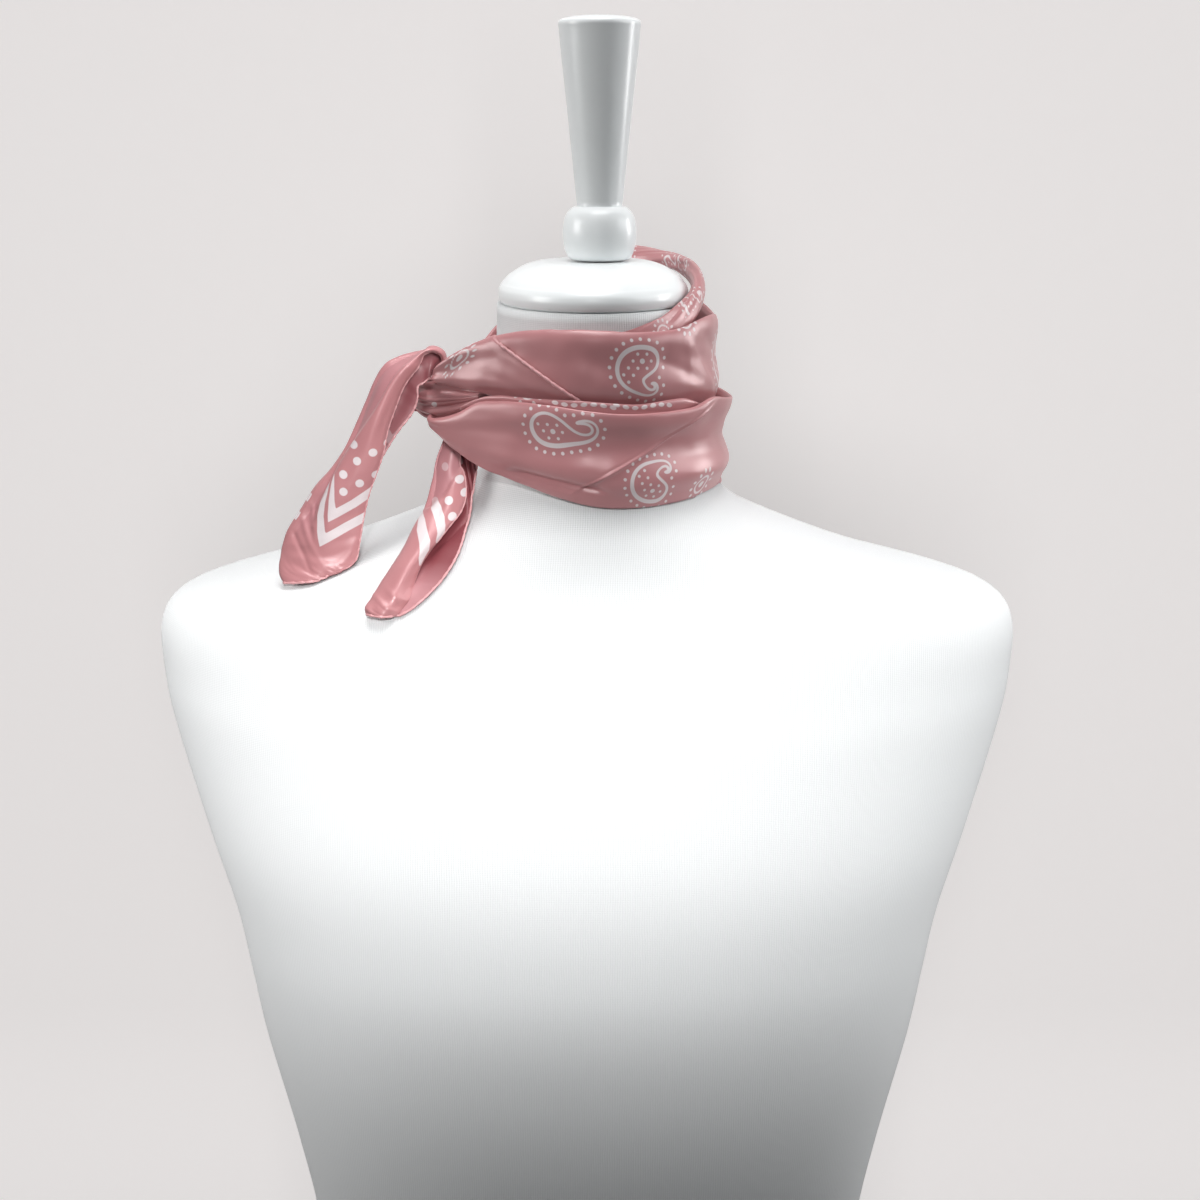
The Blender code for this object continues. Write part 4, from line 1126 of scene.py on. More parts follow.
def hemRoll(name, line, radius):
    # a rolled hem: a thin uneven tube along a free edge
    line, sides = np.asarray(line, float), hemPlan["sides"]
    heading = unit(np.gradient(line, axis=0))
    side = unit(np.cross(heading, hemPlan["upward"]))
    lift = np.cross(side, heading)
    gone = walkedAlong(line)
    swells = sum(
        share * np.sin(2 * math.pi * gone / length + phase) for share, length, phase in hemPlan["swells"])
    ends = np.clip(np.minimum(gone, gone[-1] - gone) / hemPlan["taper"] + hemPlan["endShare"], 0, 1)
    puff = (radius * (1 + swells) * ends)[:, None, None]
    turn = np.linspace(0, 2 * math.pi, sides, endpoint=False)
    grid = line[:, None] + puff * (
        side[:, None] * np.cos(turn)[None, :, None] + lift[:, None] * np.sin(turn)[None, :, None])
    flat = np.stack(
        [np.repeat(gone[:, None], sides, axis=1), np.repeat(turn[None] * radius, len(line), axis=0)], axis=-1)
    ink = np.full(grid.shape[:2], nothing)
    piece = meshFromGrid(name, grid, flat, ink, closedAround=True, capped=True)
    bpy.ops.object.select_all(action="DESELECT")
    bpy.context.view_layer.objects.active = piece
    piece.select_set(True)
    bpy.ops.object.mode_set(mode="EDIT")
    bpy.ops.mesh.select_all(action="SELECT")
    bpy.ops.mesh.normals_make_consistent(inside=False)
    bpy.ops.object.mode_set(mode="OBJECT")
    # the hem silk is painted lighter, a painted highlight
    piece.data.materials.append(paintedHighlightHemSilk)
    return settle(piece, "silk")


def hemLine(band, grid, phi, z, hem):
    # the points of the face that lie under a straight line on the neck
    fromPhi, fromZ, toPhi, toZ, radius = hem
    face = faceOf(band)
    line = []
    for share in np.linspace(0, 1, hemPlan["points"]):
        atPhi, atZ = fromPhi + share * (toPhi - fromPhi), fromZ + share * (toZ - fromZ)
        near = np.argsort(farFrom(phi[:, face], z[:, face], atPhi, atZ), axis=None)[:hemPlan["nearest"]]
        line.append(grid[:, face].reshape(-1, 3)[near].mean(axis=0))
    line = np.array(line)
    for _ in range(hemPlan["passes"]):
        line[1:-1] = 0.5 * line[1:-1] + 0.25 * (line[:-2] + line[2:])
    line[:, :2] += unit(line[:, :2] - (neck["x"], 0)) * 0.5 * radius
    return line


def flatSize(name, along, across):
    # in metres
    size = (float(along) * mm, float(across) * mm)
    print(name, "flat", [round(value, 4) for value in size])
    return size


def silkBand(band):
    grid, flat, phi, z, outward = bandGrid(band)
    ink = printOn(flat, placeMotifs(band, flat, phi, z))
    piece = meshFromGrid(band["name"], grid, flat, ink, outward=outward > 0)
    giveWall(piece, silkCloth["wall"])
    settle(piece, "silk", *band["nodes"])
    size = flatSize(band["name"], np.ptp(flat[..., 0]), np.mean(np.ptp(flat[..., 1], axis=1)))
    for number, hem in enumerate(band["hems"]):
        line = hemLine(band, grid, phi, z, hem)
        hemRoll(band["name"] + "_hem_" + str(number + 1), line, hem[-1])
    return piece


for band in (upperBand, lowerBand, middleBand):
    silkBand(band)
print("bands folded")


# the twisted strand at the nape
strandPlan = {
    "stations": 300,
    "sides": 84,
    "turns": 3.5,
    "ridge": 0.16,
    # narrow pleats that wind with the twist: height, how many round, phase, and how it drifts along
    "pleats": [(0.055, 5, 1.3, 0), (0.035, 9, 0, 6)],
    "groove": (-0.11, 0.6, 0.16),  # depth, phase and half width
    "slant": 0.35,  # how much the print follows the twist, and the mm round which it comes again
    "repeat": 46.0,
    # phi, out, z, half thick, half tall, lean
    "rows": [
        (12, 1.5, 666.4, 0.5, 4.6, 0), (24, 1.6, 668.0, 0.7, 5.0, 2), (34, 1.8, 670.0, 1.0, 5.4, 4),
        (45, 2.0, 672.2, 1.5, 6.2, 8), (56, 2.2, 676.0, 2.0, 6.4, 12), (67, 2.6, 680.4, 2.6, 6.2, 12),
        (80, 2.4, 685.2, 3.2, 5.7, 15), (98, 2.2, 690.0, 3.5, 5.3, 15), (118, 2.8, 693.8, 3.8, 4.8, 10),
        (140, 4.6, 696.2, 4.2, 4.4, 0), (162, 5.8, 696.2, 4.6, 4.4, -4), (184, 5.8, 691.8, 4.4, 4.2, -8),
        (204, 5.2, 685.6, 4.0, 4.0, -8), (220, 3.6, 679.2, 2.8, 4.2, -6), (234, 2.2, 671.2, 1.7, 4.2, -2),
        (246, 2.2, 662.6, 1.5, 3.6, 0), (258, 2.6, 653.0, 1.4, 3.2, 0), (266, 3.2, 647.0, 1.2, 2.6, 0),
    ],
    "motifs": [
        ("sun", 24, 8, 0, 0.9, 1), ("round", 46, 22, 80, 0.8, 1), ("long", 62, 4, 60, 0.8, 1),
        ("sun", 76, 26, 0, 0.9, 1), ("sun", 90, 10, 0, 0.9, 1), ("round", 96, 34, 200, 0.8, 1),
        ("round", 112, 8, -40, 0.8, 1), ("sun", 134, 24, 0, 0.9, 1), ("long", 150, 10, 120, 0.8, -1),
        ("sun", 176, 6, 0, 0.9, 1), ("round", 196, 20, 20, 0.8, 1), ("sun", 220, 10, 0, 0.9, 1),
    ],
}


def twistedStrand(plan):
    table = np.array(plan["rows"], float)
    phis = np.linspace(table[0, 0], table[-1, 0], plan["stations"])
    turn = np.linspace(0, 2 * math.pi, plan["sides"] + 1)
    grid = []
    for phi, (out, z, thick, tall, lean) in zip(phis, smoothRows(table[:, 0], table[:, 1:], phis)):
        share = (phi - phis[0]) / (phis[-1] - phis[0])
        wind = 2 * math.pi * plan["turns"] * share
        lobe = 1 + plan["ridge"] * np.sin(2 * turn - wind)
        for height, count, phase, drift in plan["pleats"]:
            lobe = lobe + height * np.sin(count * (turn - 0.5 * wind) + phase + drift * share)
        depth, phase, half = plan["groove"]
        lobe = lobe + depth * bump(np.sin(turn - 0.5 * wind + phase), 0, half)
        across, up = thick * lobe * np.cos(turn), tall * lobe * np.sin(turn)
        tilt = math.radians(lean)
        x, y = aroundNeck(phi, out + across * math.cos(tilt) - up * math.sin(tilt))
        grid.append(np.stack([x, y, z + across * math.sin(tilt) + up * math.cos(tilt)], axis=1))
    grid = np.array(grid)
    walked, crossed = gridLengths(grid)
    along = np.repeat(walked.mean(axis=1)[:, None], plan["sides"] + 1, axis=1)
    spun = (crossed + plan["slant"] * along) % plan["repeat"]
    ink = printOn(np.stack([along, spun], axis=-1), plan["motifs"])
    flat = np.stack([along, crossed], axis=-1)
    piece = meshFromGrid(
        "nape_strand_silk", grid[:, :-1], flat[:, :-1], ink[:, :-1], closedAround=True, capped=True,
        outward=True)
    piece.data.materials.append(roseSilk)
    settle(piece, "silk", "nape_strand")
    size = flatSize("nape_strand_silk", along.max(), crossed[:, -1].mean() * 0.5)
    return piece


twistedStrand(strandPlan)
print("strand twisted")


# the two hanging ends: open channels of cloth
# rows: x, y, z of the closed bend, lean and width in front, lean and width behind, depth, swell
# closes: the shares of the length between which the front edge settles on the back wall
# edgeFrom: the station where the hem of the front edge starts
# crest: x, z down the front; what lies left of it is set back by setBack, over its second number of mm
# dull: how strongly the silk left of the crest is painted darker, a painted shade in the wrong side's duller
# colour, and the heights between which that comes in
# creases: from x, z to x, z, height, half width; stripes and chevrons: x, z, width; dots: x, z
# hollow: how dark the shade painted within the fold is, and the heights between which that comes in
longEnd = {
    "name": "long_end_silk",
    "nodes": ("long_end",),
    "stations": 250,
    "across": 118,
    "rows": [
        (-67.0, -15.0, 649.0, -176, 2.0, -176, 8.0, 3.0, 0.4),
        (-65.8, -17.5, 654.0, -168, 2.0, -166, 9.5, 3.2, 0.6),
        (-66.2, -19.5, 659.4, -136, 2.2, -130, 12.0, 4.0, 0.8),
        (-70.4, -21.5, 662.4, -100, 2.4, -104, 15.0, 5.2, 1.2),
        (-75.6, -22.5, 662.2, -72, 3.2, -80, 15.0, 6.2, 1.6),
        (-81.6, -23.0, 660.2, -40, 6.6, -58, 15.0, 6.8, 2.2),
        (-87.4, -24.0, 657.8, -26, 10.6, -46, 16.6, 7.2, 2.8),
        (-92.6, -25.0, 654.6, -22, 12.8, -36, 17.6, 7.4, 3.2),
        (-97.6, -26.0, 648.0, -16, 13.8, -25, 21.0, 7.6, 3.4),
        (-101.7, -27.0, 638.3, -10, 14.2, -15, 21.2, 7.6, 3.6),
        (-106.2, -28.5, 627.5, -8, 15.0, -6, 19.4, 7.4, 3.6),
        (-110.7, -30.0, 618.0, -6, 17.4, -2, 18.4, 7.0, 3.6),
        (-117.0, -31.5, 609.0, -6, 20.4, -2, 19.4, 6.6, 3.6),
        (-124.3, -33.0, 601.0, -8, 24.4, -6, 22.0, 6.2, 3.4),
        (-131.0, -34.5, 591.0, -8, 28.6, -7, 26.0, 5.4, 3.2),
        (-137.4, -36.5, 580.7, -6, 33.0, -5, 30.5, 4.4, 3.0),
        (-140.0, -38.5, 571.6, -3, 34.2, -2, 32.5, 3.4, 2.6),
        (-140.4, -41.8, 563.7, 2, 30.8, 2, 30.0, 3.0, 2.0),
        (-138.3, -44.3, 559.6, 5, 21.5, 5, 21.0, 2.8, 1.2),
    ],
    "closes": (0.93, 1.0),
    "edgeFrom": 8,
    "crest": [
        (-72.0, 665), (-75.3, 660.8), (-83.0, 655.0), (-87.9, 648.6), (-92.4, 641.9), (-97.2, 634.6),
        (-102.4, 627.1), (-108.2, 619.2), (-113.0, 612.1), (-116.4, 605.8), (-122.4, 593.3), (-124.6, 584.3),
        (-124.0, 576.7), (-121, 556),
    ],
    "setBack": (2.3, 0.6),
    "paintedStripShade": (1.0, 576, 592),
    "creases": [
        (-96, 646, -113, 606, 0.7, 2.6), (-88, 640, -104, 606, -0.5, 2.2), (-96, 630, -101, 606, 0.35, 2.0),
        (-113, 604, -120, 578, 0.5, 3.0), (-134, 594, -124, 574, 0.5, 1.3), (-137, 588, -127, 566, -0.5, 1.2),
        (-129, 602, -125, 586, 0.45, 1.0), (-136, 572, -112, 565, 0.35, 1.9), (-134, 567, -116, 561, -0.3, 1.3),
        (-104, 580, -114, 566, 0.45, 2.2), (-128, 563, -112, 559, 0.5, 1.0),
    ],
    "backCreases": [
        (-84, 650, -92, 628, 0.5, 2.0), (-78, 640, -86, 622, -0.4, 1.6), (-72, 656, -76, 640, 0.5, 1.4),
    ],
    "stripes": [],
    "chevrons": [
        ([(-117.2, 605.2, 0.2), (-118.0, 601.9, 1.3), (-119.0, 598.9, 2.0), (-120.2, 595.2, 2.5),
          (-121.2, 589.3, 3.0), (-121.0, 582.5, 3.6), (-120.3, 578.7, 4.0)],
         [(-120.3, 578.7, 4.0), (-110.1, 584.2, 4.0), (-95.0, 591.5, 4.0)]),
        ([(-114.9, 607.4, 0.2), (-115.3, 603.6, 1.4), (-115.6, 600.2, 2.0), (-115.9, 596.3, 2.5),
          (-115.9, 589.7, 3.8)],
         [(-115.9, 589.7, 3.8), (-106.7, 594.5, 4.0), (-92.0, 603.8, 4.0)]),
    ],
    "dots": [
        (-105.9, 620.3), (-97.6, 617.1), (-91.4, 620.6), (-104.5, 613.5), (-110.6, 607.4), (-103.7, 603.6),
        (-96.9, 606.9), (-110.7, 600.1),
    ],
    "backStripes": [
        [(-78, 634, 3.8), (-90, 620, 3.8), (-96, 630, 3.8)],
        [(-76, 628, 3.8), (-90, 612, 3.8), (-99, 624, 3.8)],
        [(-100, 604, 4.0), (-118, 590, 4.0), (-134, 602, 4.0)],
        [(-100, 595, 4.0), (-118, 580, 4.0), (-138, 592, 4.0)],
    ],
    "backDots": [(-96, 640), (-104, 636), (-100, 645), (-92, 646), (-108, 628), (-100, 630)],
    "hollow": (0.75, 600, 640),
}
shortEnd = {
    "name": "short_end_silk",
    "nodes": ("short_end",),
    "stations": 180,
    "across": 108,
    "rows": [
        (-62.5, -25.5, 631.0, 0, 6.0, -6, 10.0, 3.0, 0.8),
        (-67.5, -28.0, 622.0, 0, 10.0, -12, 15.5, 3.8, 1.4),
        (-71.0, -31.0, 613.0, -4, 12.6, -10, 19.0, 4.4, 2.0),
        (-71.6, -34.0, 605.5, -6, 14.8, -8, 18.6, 4.8, 2.6),
        (-73.0, -37.0, 599.0, -6, 16.4, -4, 18.8, 5.2, 3.2),
        (-75.2, -40.5, 592.2, -3, 16.4, -2, 20.4, 5.6, 3.4),
        (-78.6, -45.7, 586.2, 0, 15.2, 0, 23.0, 6.0, 3.4),
        (-83.2, -52.8, 577.0, 2, 12.6, 4, 26.2, 6.2, 3.2),
        (-87.6, -58.8, 570.4, 4, 12.6, 5, 28.2, 6.0, 3.0),
        (-92.4, -63.9, 564.1, 3, 14.8, 4, 28.2, 5.2, 2.8),
        (-96.0, -68.8, 558.8, 2, 16.6, 3, 25.4, 4.2, 2.4),
        (-98.6, -72.4, 555.4, -2, 16.0, -1, 21.2, 3.4, 2.0),
        (-97.8, -74.4, 553.0, -4, 12.6, -4, 14.2, 2.8, 1.2),
    ],
    "closes": (0.62, 0.86),
    "edgeFrom": 4,
    "crest": [
        (-54.5, 613), (-59.3, 607.4), (-61.8, 604.6), (-64.0, 601.4), (-66.4, 598.1), (-69.2, 595.9),
        (-71.2, 593.7), (-77, 592),
    ],
    "setBack": (1.6, 0.5),
    "paintedStripShade": (0.9, 590, 592),
    "creases": [
        (-66, 606, -74, 588, 0.5, 2.0), (-62, 604, -72, 584, -0.3, 1.3), (-78, 586, -92, 562, 0.6, 2.4),
        (-88, 562, -76, 556, 0.4, 1.4), (-96, 560, -84, 554, 0.4, 1.2),
    ],
    "backCreases": [
        (-60.5, 619, -54.5, 592, -1.4, 0.9), (-57.5, 619, -52.0, 594, -1.3, 0.8),
        (-55.0, 619, -50.0, 596, -1.2, 0.7), (-72, 580, -80, 562, 0.5, 2.6), (-66, 592, -72, 572, -0.4, 2.4),
    ],
    "stripes": [
        [(-70.6, 596.6, 3.6), (-69.2, 593.6, 4.6), (-67.6, 590.0, 4.2), (-66.9, 587.0, 3.6),
         (-67.0, 584.0, 2.9), (-68.6, 580.4, 1.2)],
        [(-75.8, 590.8, 1.6), (-75.4, 588.4, 3.2), (-75.0, 585.0, 4.6), (-73.7, 581.2, 4.7),
         (-73.7, 578.0, 3.8), (-74.9, 574.8, 2.4), (-75.7, 571.6, 0.6)],
    ],
    "chevrons": [],
    "dots": [(-63.8, 596.9), (-62.3, 590.3), (-59.4, 605.2), (-57.2, 599.6), (-66.2, 611.0)],
    "hollow": (1.0, 561, 572),
    "backStripes": [],
    "backDots": [(-60, 612), (-66, 618), (-72, 612)],
}


channelPlan = {
    "turnOver": 2.5,  # mm over which the bend changes from back to front
    "crease": (0.5, 4, 7.0),  # mm to the sides, how often, and how sharply a crease starts and ends
    "crestRidge": (0.45, 1.1),  # height and half width
    "rippleHeight": 0.14,
    "ripples": (11, 8, 7.0, 26.0),  # seed, waves, shortest and longest; for puckers also slant and spread
    "puckerHeight": 0.14,
    "puckers": (5, 7, 2.0, 6.0, 70, 0.6),
    "puckerFrom": (0.91, 0.97),  # the shares of the length where they start and are full
    "clearances": (1.2, 0.9),  # mm from the body, before and after the creases
    "dot": 1.8,
    # where the two painted shades come in: left of the crest, and within the fold
    "paintedStripShadeEdge": (0.6, 0.35),
    "paintedFoldShadeEdge": 3.0,
    "rimFrom": 6,
    "hem": 0.55,
    "edgeHem": 0.42,
}


def channelGrid(end):
    rows = evenSteps(throughRows(end["rows"], 40 * len(end["rows"])), end["stations"], 3)
    near, far = np.array([0, -1.0, 0]), np.array([0, 1.0, 0])
    grid = []
    for number, (x, y, z, lean, front, backLean, back, depth, swell) in enumerate(rows):
        go = number / (end["stations"] - 1)
        bend = np.array([neck["x"] + x, y, z])
        turns = (math.radians(turn) for turn in (lean, backLean))
        ahead, behind = (np.array([math.cos(turn), 0, math.sin(turn)]) for turn in turns)
        # towards the tip the front edge settles on the back wall
        settled = ramp(go, *end["closes"])
        edge = near * 0.40 * depth * (1 - settled) + far * (0.30 * depth - 0.5) * settled
        section = [
            bend + behind * back + far * 0.30 * depth,
            bend + behind * back * 0.55 + far * 0.62 * depth,
            bend + behind * back * 0.18 + far * 0.50 * depth,
            bend,
            bend + ahead * front * 0.18 + near * (0.50 * depth + 0.4 * swell),
            bend + ahead * front * 0.55 + near * (0.62 * depth + swell),
            bend + ahead * front * 0.86 + near * (0.52 * depth + 0.5 * swell) * (1 - 0.6 * settled),
            bend + ahead * front + edge,
        ]
        grid.append(evenSteps(throughRows(section, 12 * len(section)), end["across"]))
    return clearOfBody(grid, channelPlan["clearances"][0])


def seenInk(seen, dots, stripes, chevrons=()):
    inks = [dotField(seen, dots, channelPlan["dot"])]
    inks += [stripeInk(seen, path) for path in stripes]
    inks += [chevronInk(seen, left, right) for left, right in chevrons]
    return np.max(inks, axis=0)


def silkEnd(end):
    plan = channelPlan
    grid = channelGrid(end)
    middle = end["across"] // 2
    flat = clothFlat(grid)
    along, crossed = flat[..., 0], flat[..., 1]
    arc = crossed - crossed[:, middle:middle + 1]
    normal = surfaceNormals(grid)
    outward = np.sum(normal[:, -12:, 1]) < 0
    normal = normal if outward else -normal
    x, z = grid[..., 0] - neck["x"], grid[..., 2]
    onFront, onBack = (ramp(way * arc, 0, plan["turnOver"]) for way in (1, -1))
    relief = creaseRelief(x, z, end["creases"], plan["crease"]) * onFront
    relief -= creaseRelief(x, z, end["backCreases"], plan["crease"]) * onBack
    # left of the crest the front is set back and turned away
    side = sideOfPath(x, z, end["crest"])
    setBack, soft = end["setBack"]
    paintedStripShadeStrength, low, high = end["paintedStripShade"]
    fade = ramp(z, low, high)
    height, half = plan["crestRidge"]
    relief += (height * bump(side, 0, half) - setBack * sigmoid(side / soft)) * onFront * fade
    relief += plan["rippleHeight"] * ripples(along, crossed, *plan["ripples"])
    puckers = ripples(along, crossed, *plan["puckers"]) * ramp(along / along.max(), *plan["puckerFrom"])
    relief += plan["puckerHeight"] * puckers
    grid = clearOfBody(grid + normal * relief[..., None], plan["clearances"][1])
    # the print on each side, as it is seen from in front
    seen = np.stack([x, z], axis=-1).reshape(-1, 2)
    frontInk = seenInk(seen, end["dots"], end["stripes"], end["chevrons"]).reshape(x.shape)
    backInk = seenInk(seen, end["backDots"], end["backStripes"]).reshape(x.shape)
    ink = np.where(np.arange(end["across"])[None, :] >= middle, frontInk, backInk)
    # left of the crest the front is also painted darker in the wrong side's duller colour, a painted shade
    at, soft = plan["paintedStripShadeEdge"]
    paintedStripShade = paintedStripShadeStrength * fade * sigmoid((side - at) / soft) * onFront
    # inside the bend the back wall is painted darker above the given heights, a painted shade within the fold
    most, low, high = end["hollow"]
    hollow = most * ramp(z, low, high) * ramp(-arc, 0, plan["paintedFoldShadeEdge"])
    piece = meshFromGrid(end["name"], grid, flat, ink, outward=outward, wrongSideAndPaintedShade=paintedStripShade, hollow=hollow)
    giveWall(piece, silkCloth["wall"], 0.0)
    settle(piece, "silk", *end["nodes"])
    rim = np.concatenate([grid[plan["rimFrom"]:, 0], grid[-1, 1:-1:2]])
    hem = hemRoll(end["name"] + "_hem", rim, plan["hem"])
    openTo = int(end["closes"][0] * end["stations"])
    edgeHem = hemRoll(end["name"] + "_edge_hem", grid[end["edgeFrom"]:openTo, -1], plan["edgeHem"])
    size = flatSize(end["name"], along.max(), crossed[:, -1].mean())
    return piece


silkEnd(longEnd)
silkEnd(shortEnd)
print("ends hung")


# the knot's two pleated turns
# rows: x, y, z of the middle line, height, and how far the middle bows out
# pleats: where across, how it drifts along, height, half width
knotTurns = [
    {
        "name": "knot_front_silk",
        "nodes": ("knot_front",),
        "rows": [
            (-50.0, -34.6, 641.6, 6.0, 0.6),
            (-56.0, -30.8, 639.8, 12.0, 1.2),
            (-62.4, -28.0, 638.8, 17.0, 2.0),
            (-69.6, -26.4, 638.2, 18.6, 2.6),
            (-74.2, -22.8, 638.2, 17.4, 3.0),
            (-77.8, -17.6, 638.5, 15.4, 2.6),
            (-79.8, -11.6, 638.8, 13.6, 2.2),
        ],
        "pleats": [
            (0.10, 0.04, 0.75, 0.07), (0.52, 0.10, -1.3, 0.12), (-0.16, -0.06, -0.7, 0.10),
            (-0.50, -0.10, 0.7, 0.12), (-0.72, 0.06, -1.2, 0.09), (0.34, 0.02, 0.5, 0.10),
        ],
        "dots": [(21.8, 12.0)],
    },
    {
        "name": "knot_back_silk",
        "nodes": ("knot_back",),
        "rows": [
            (-81.4, -13.8, 638.9, 14.4, 2.0),
            (-81.6, -9.0, 639.2, 15.4, 2.4),
            (-79.6, -4.4, 639.4, 17.6, 2.8),
            (-75.0, -0.4, 639.6, 20.6, 3.0),
            (-69.4, 5.0, 639.4, 22.6, 2.8),
            (-63.6, 12.6, 639.0, 19.0, 2.0),
            (-56.4, 22.6, 638.8, 9.0, 0.6),
        ],
        "pleats": [
            (0.16, 0.05, 0.8, 0.08), (0.55, 0.08, -1.1, 0.10), (-0.20, -0.06, -0.9, 0.09),
            (-0.55, 0.1, 0.8, 0.12), (-0.80, 0.04, -0.8, 0.07), (0.36, -0.05, 0.6, 0.08),
        ],
        "dots": [(24.0, 12.0)],
    },
]


turnPlan = {
    "stations": 110,
    "across": 96,
    "fullHeight": 14,  # mm, below which the pleats shrink
    "finePleat": (0.22, 6.1, 2.2, 1.0),  # height, how many, drift and phase
    "tuckFrom": 0.90,
    "tuck": 2.2,
    "narrowing": 0.05,
    "dot": 1.3,
}


def knotTurn(knot):
    plan, stations, across = turnPlan, turnPlan["stations"], turnPlan["across"]
    table = throughRows(knot["rows"], stations)
    heading = unit(np.gradient(table[:, :2], axis=0))
    face = np.stack([-heading[:, 1], heading[:, 0]], axis=1)
    share = np.linspace(-1, 1, across)
    turned = ramp(np.abs(share), plan["tuckFrom"], 1)
    fine, count, finely, phase = plan["finePleat"]
    grid = []
    for number, ((x, y, z, height, bow), normal) in enumerate(zip(table, face)):
        go = number / (stations - 1)
        small = min(1, height / plan["fullHeight"]) ** 2
        swell = bow * (1 - share**2) + fine * small * np.cos(math.pi * count * share + finely * go + phase)
        for at, drift, tall, half in knot["pleats"]:
            swell = swell + small * tall * bump(share, at + drift * go, half)
        swell = swell - plan["tuck"] * turned**2 * small
        up = 0.5 * height * (1 - plan["narrowing"] * turned) * share
        grid.append(np.stack([neck["x"] + x + normal[0] * swell, y + normal[1] * swell, z + up], axis=1))
    grid = np.array(grid)
    flat = clothFlat(grid)
    ink = dotField(flat.reshape(-1, 2), knot["dots"], plan["dot"]).reshape(grid.shape[:2])
    outward = np.sum(surfaceNormals(grid)[:, across // 2, :2] * face) > 0
    piece = meshFromGrid(knot["name"], grid, flat, ink, outward=bool(outward))
    giveWall(piece, silkCloth["wall"], 0.0)
    settle(piece, "silk", *knot["nodes"])
    size = flatSize(knot["name"], flat[..., 0].max(), flat[:, -1, 1].mean())
    return piece


for knot in knotTurns:
    knotTurn(knot)
print("knot tied")


# camera, lights and backdrop
cameraPlan = {"place": (0.006, -0.85, 0.76), "pitch": 14.5, "lens": 55.77, "sensor": 36.0, "near": 0.02}
cameraData = bpy.data.cameras.new("camera")
cameraData.lens = cameraPlan["lens"]
cameraData.sensor_width = cameraPlan["sensor"]
cameraData.clip_start = cameraPlan["near"]
camera = bpy.data.objects.new("camera", cameraData)
camera.location = cameraPlan["place"]
camera.rotation_euler = (math.radians(90 - cameraPlan["pitch"]), 0, 0)
scene.collection.objects.link(camera)
scene.camera = camera

backdropPlan = {
    "wallAt": 0.34,
    "halfWidth": 2.6,
    "height": 2.8,
    "front": -2.4,
    "cove": 0.16,
    "tone": (0.80, 0.77, 0.762, 1),
    "glow": 0.52,  # share of the paper's brightness that no shadow reaches
    "finish": {"Roughness": 0.9, "Specular IOR Level": 0.1},
    "sink": -0.001,
}


def backdrop(plan):
    # a sweep of paper: floor, rounded corner and wall, seen from its front only
    turn = np.linspace(0, math.pi / 2, 14)
    corner, cove, low = plan["wallAt"] - plan["cove"], plan["cove"], plan["sink"]
    line = [(plan["front"], low)]
    line += [(corner + cove * math.sin(t), low + cove * (1 - math.cos(t))) for t in turn]
    line.append((plan["wallAt"], plan["height"]))
    verts = [(side * plan["halfWidth"], y, z) for y, z in line for side in (-1, 1)]
    faces = [(2 * i, 2 * i + 1, 2 * i + 3, 2 * i + 2) for i in range(len(line) - 1)]
    mesh = bpy.data.meshes.new("backdrop")
    mesh.from_pydata(verts, [], faces)
    mesh.shade_smooth()
    piece = bpy.data.objects.new("backdrop", mesh)
    scene.collection.objects.link(piece)
    made, tree, shader = newMaterial("pale paper")
    tones = {"Base Color": plan["tone"], "Emission Color": plan["tone"], "Emission Strength": plan["glow"]}
    setSockets(shader, {**plan["finish"], **tones})
    oneSide = addNode(tree, "ShaderNodeMixShader")
    back = addNode(tree, "ShaderNodeNewGeometry").outputs["Backfacing"]
    clear = addNode(tree, "ShaderNodeBsdfTransparent").outputs[0]
    for number, socket in enumerate((back, shader.outputs[0], clear)):
        tree.links.new(socket, oneSide.inputs[number])
    tree.links.new(oneSide.outputs[0], tree.nodes["Material Output"].inputs["Surface"])
    mesh.materials.append(made)
    piece.visible_diffuse = False  # the paper throws no light back under the form
    return piece


paper = backdrop(backdropPlan)

# kind, place, aim, width, power, colour, and what it lights: form is all but the paper, wound is all
# but the paper and the hanging ends, and ends, cap and paper are each lit alone
lightPlan = {
    "ceiling box": ("AREA", (0.0, -0.28, 2.10), (0, -0.02, 0.55), 0.90, 19.0, (1.0, 1.0, 1.0), "form"),
    "left window": ("AREA", (-1.28, -0.32, 0.95), (0, -0.02, 0.60), 0.60, 9.0, (1.0, 0.995, 0.985), "wound"),
    "right window": ("AREA", (1.25, -0.30, 1.08), (0, -0.02, 0.60), 0.60, 4.0, (0.985, 0.995, 1.0), "form"),
    "right edge light": ("AREA", (0.95, 0.30, 0.82), (0, 0.0, 0.63), 0.40, 6.0, (1.0, 1.0, 1.0), "form"),
    "chest spot": ("SPOT", (0.0, -1.90, 1.40), (0, -0.11, 0.478), 0.20, 165.0, (1.0, 1.0, 1.0), "wound"),
    "cap light": ("AREA", (0.0, -1.0, 1.0), (0, 0, 0.70), 0.30, 1.2, (1.0, 1.0, 1.0), "cap"),
    "tie light": ("AREA", (0.16, -0.80, 0.98), (-0.10, -0.03, 0.65), 0.30, 7.2, (1.0, 1.0, 1.0), "ends"),
    "paper light": ("AREA", (0.0, -3.1, 1.15), (0, 0.34, 0.62), 1.5, 42.0, (1.0, 1.0, 1.0), "paper"),
}
spotPlan = {"cone": 7.8, "fade": 0.75, "widen": 4.6}


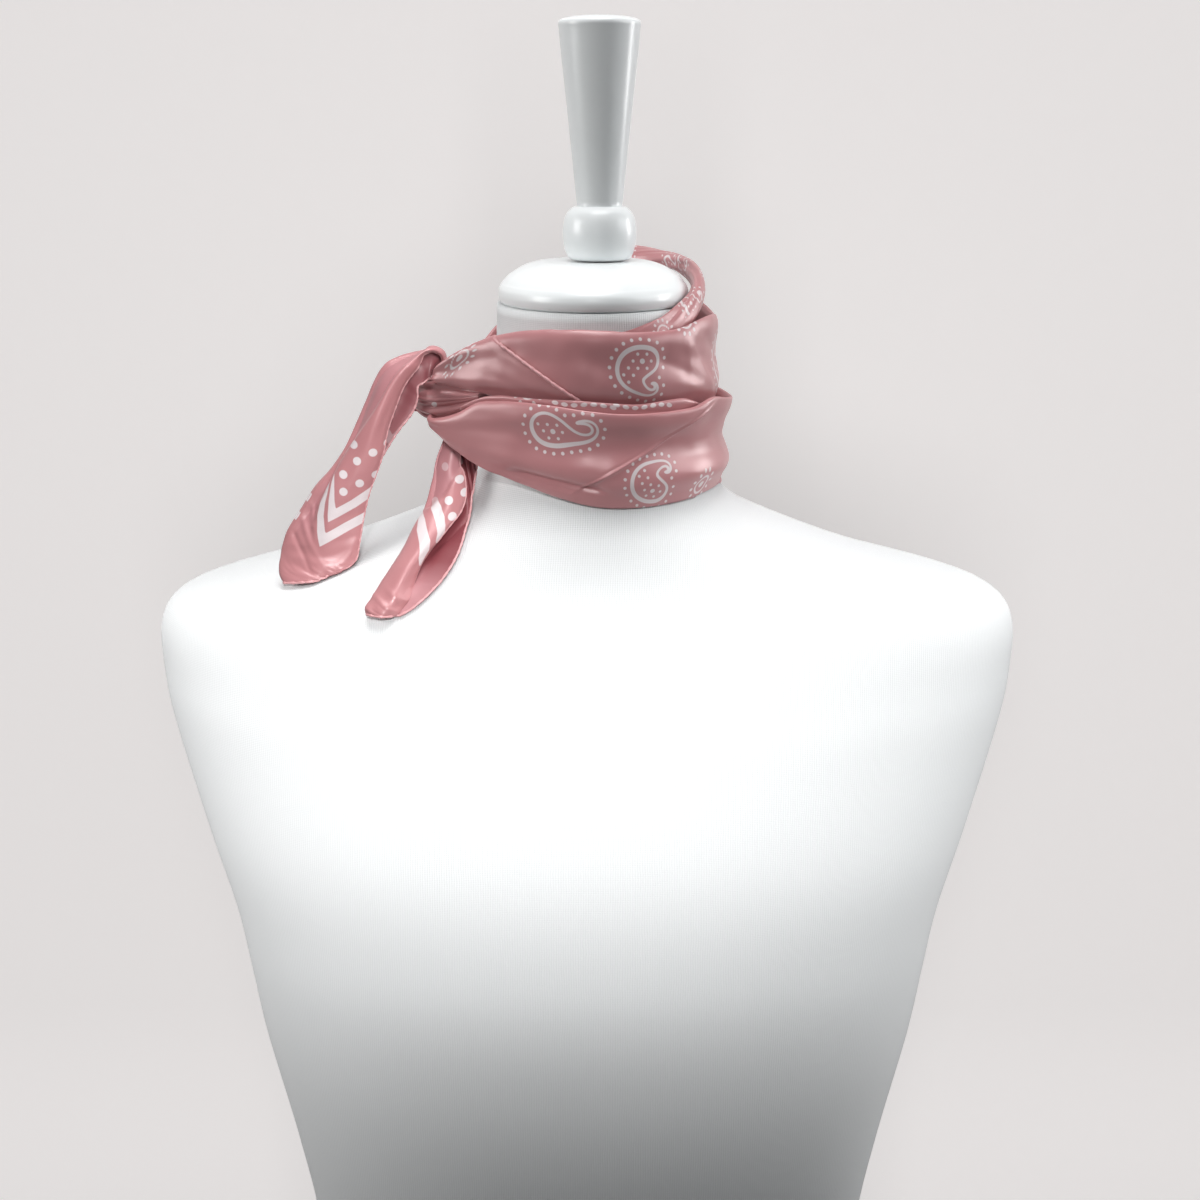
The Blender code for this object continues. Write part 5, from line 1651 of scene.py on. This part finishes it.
def softBox(name, kind, place, aim, width, power, colour, lit):
    light = bpy.data.lights.new(name, kind)
    if kind == "AREA":
        light.shape = "SQUARE"
        light.size = width
    else:
        light.shadow_soft_size = 0.5 * width
        light.spot_size = math.radians(spotPlan["cone"])
        light.spot_blend = spotPlan["fade"]
    light.energy = power
    light.color = colour
    lamp = bpy.data.objects.new(name, light)
    scene.collection.objects.link(lamp)
    lamp.location = place
    toward = unit(np.array(aim, float) - np.array(place, float))
    lamp.rotation_euler = (math.acos(-toward[2]), 0, math.atan2(toward[1], toward[0]) - math.pi / 2)
    lamp.scale.x = spotPlan["widen"] if kind == "SPOT" else 1.0
    lamp.visible_camera = False
    received = bpy.data.collections.new(name + " lights")
    ends = [piece for piece in scene.objects if piece.name.startswith(("long_end", "short_end"))]
    cap = [piece for piece in scene.objects if piece.name.startswith("neck_cap_turned")]
    chosen = {"ends": ends, "cap": cap, "wound": [paper, *ends]}.get(lit, [paper])
    state = "EXCLUDE" if lit in ("form", "wound") else "INCLUDE"
    for number, piece in enumerate(chosen):
        received.objects.link(piece)
        received.collection_objects[number].light_linking.link_state = state
    lamp.light_linking.receiver_collection = received
    return lamp


for lampName, lampRow in lightPlan.items():
    softBox(lampName, *lampRow)

# brightness of the sky below, level with and above the form, where each is reached, and its tint
skyPlan = {"grey": (0.03, 0.10, 0.19), "at": (0.35, 0.52, 0.85), "tint": (0.96, 0.98, 1.0)}


def studioSky(plan):
    world = bpy.data.worlds.new("studio")
    scene.world = world
    world.use_nodes = True
    tree = world.node_tree
    parts = addNode(tree, "ShaderNodeSeparateXYZ")
    tree.links.new(addNode(tree, "ShaderNodeTexCoord").outputs["Generated"], parts.inputs[0])
    height = mathNode(tree, "MULTIPLY_ADD", parts.outputs[2], 0.5, 0.5)
    stops = [(at, (*(grey * share for share in plan["tint"]), 1)) for at, grey in zip(plan["at"], plan["grey"])]
    tree.links.new(rampNode(tree, height, stops), tree.nodes["Background"].inputs[0])
    tree.nodes["Background"].inputs[1].default_value = 1.0
    return world


studioSky(skyPlan)
print("studio lit")
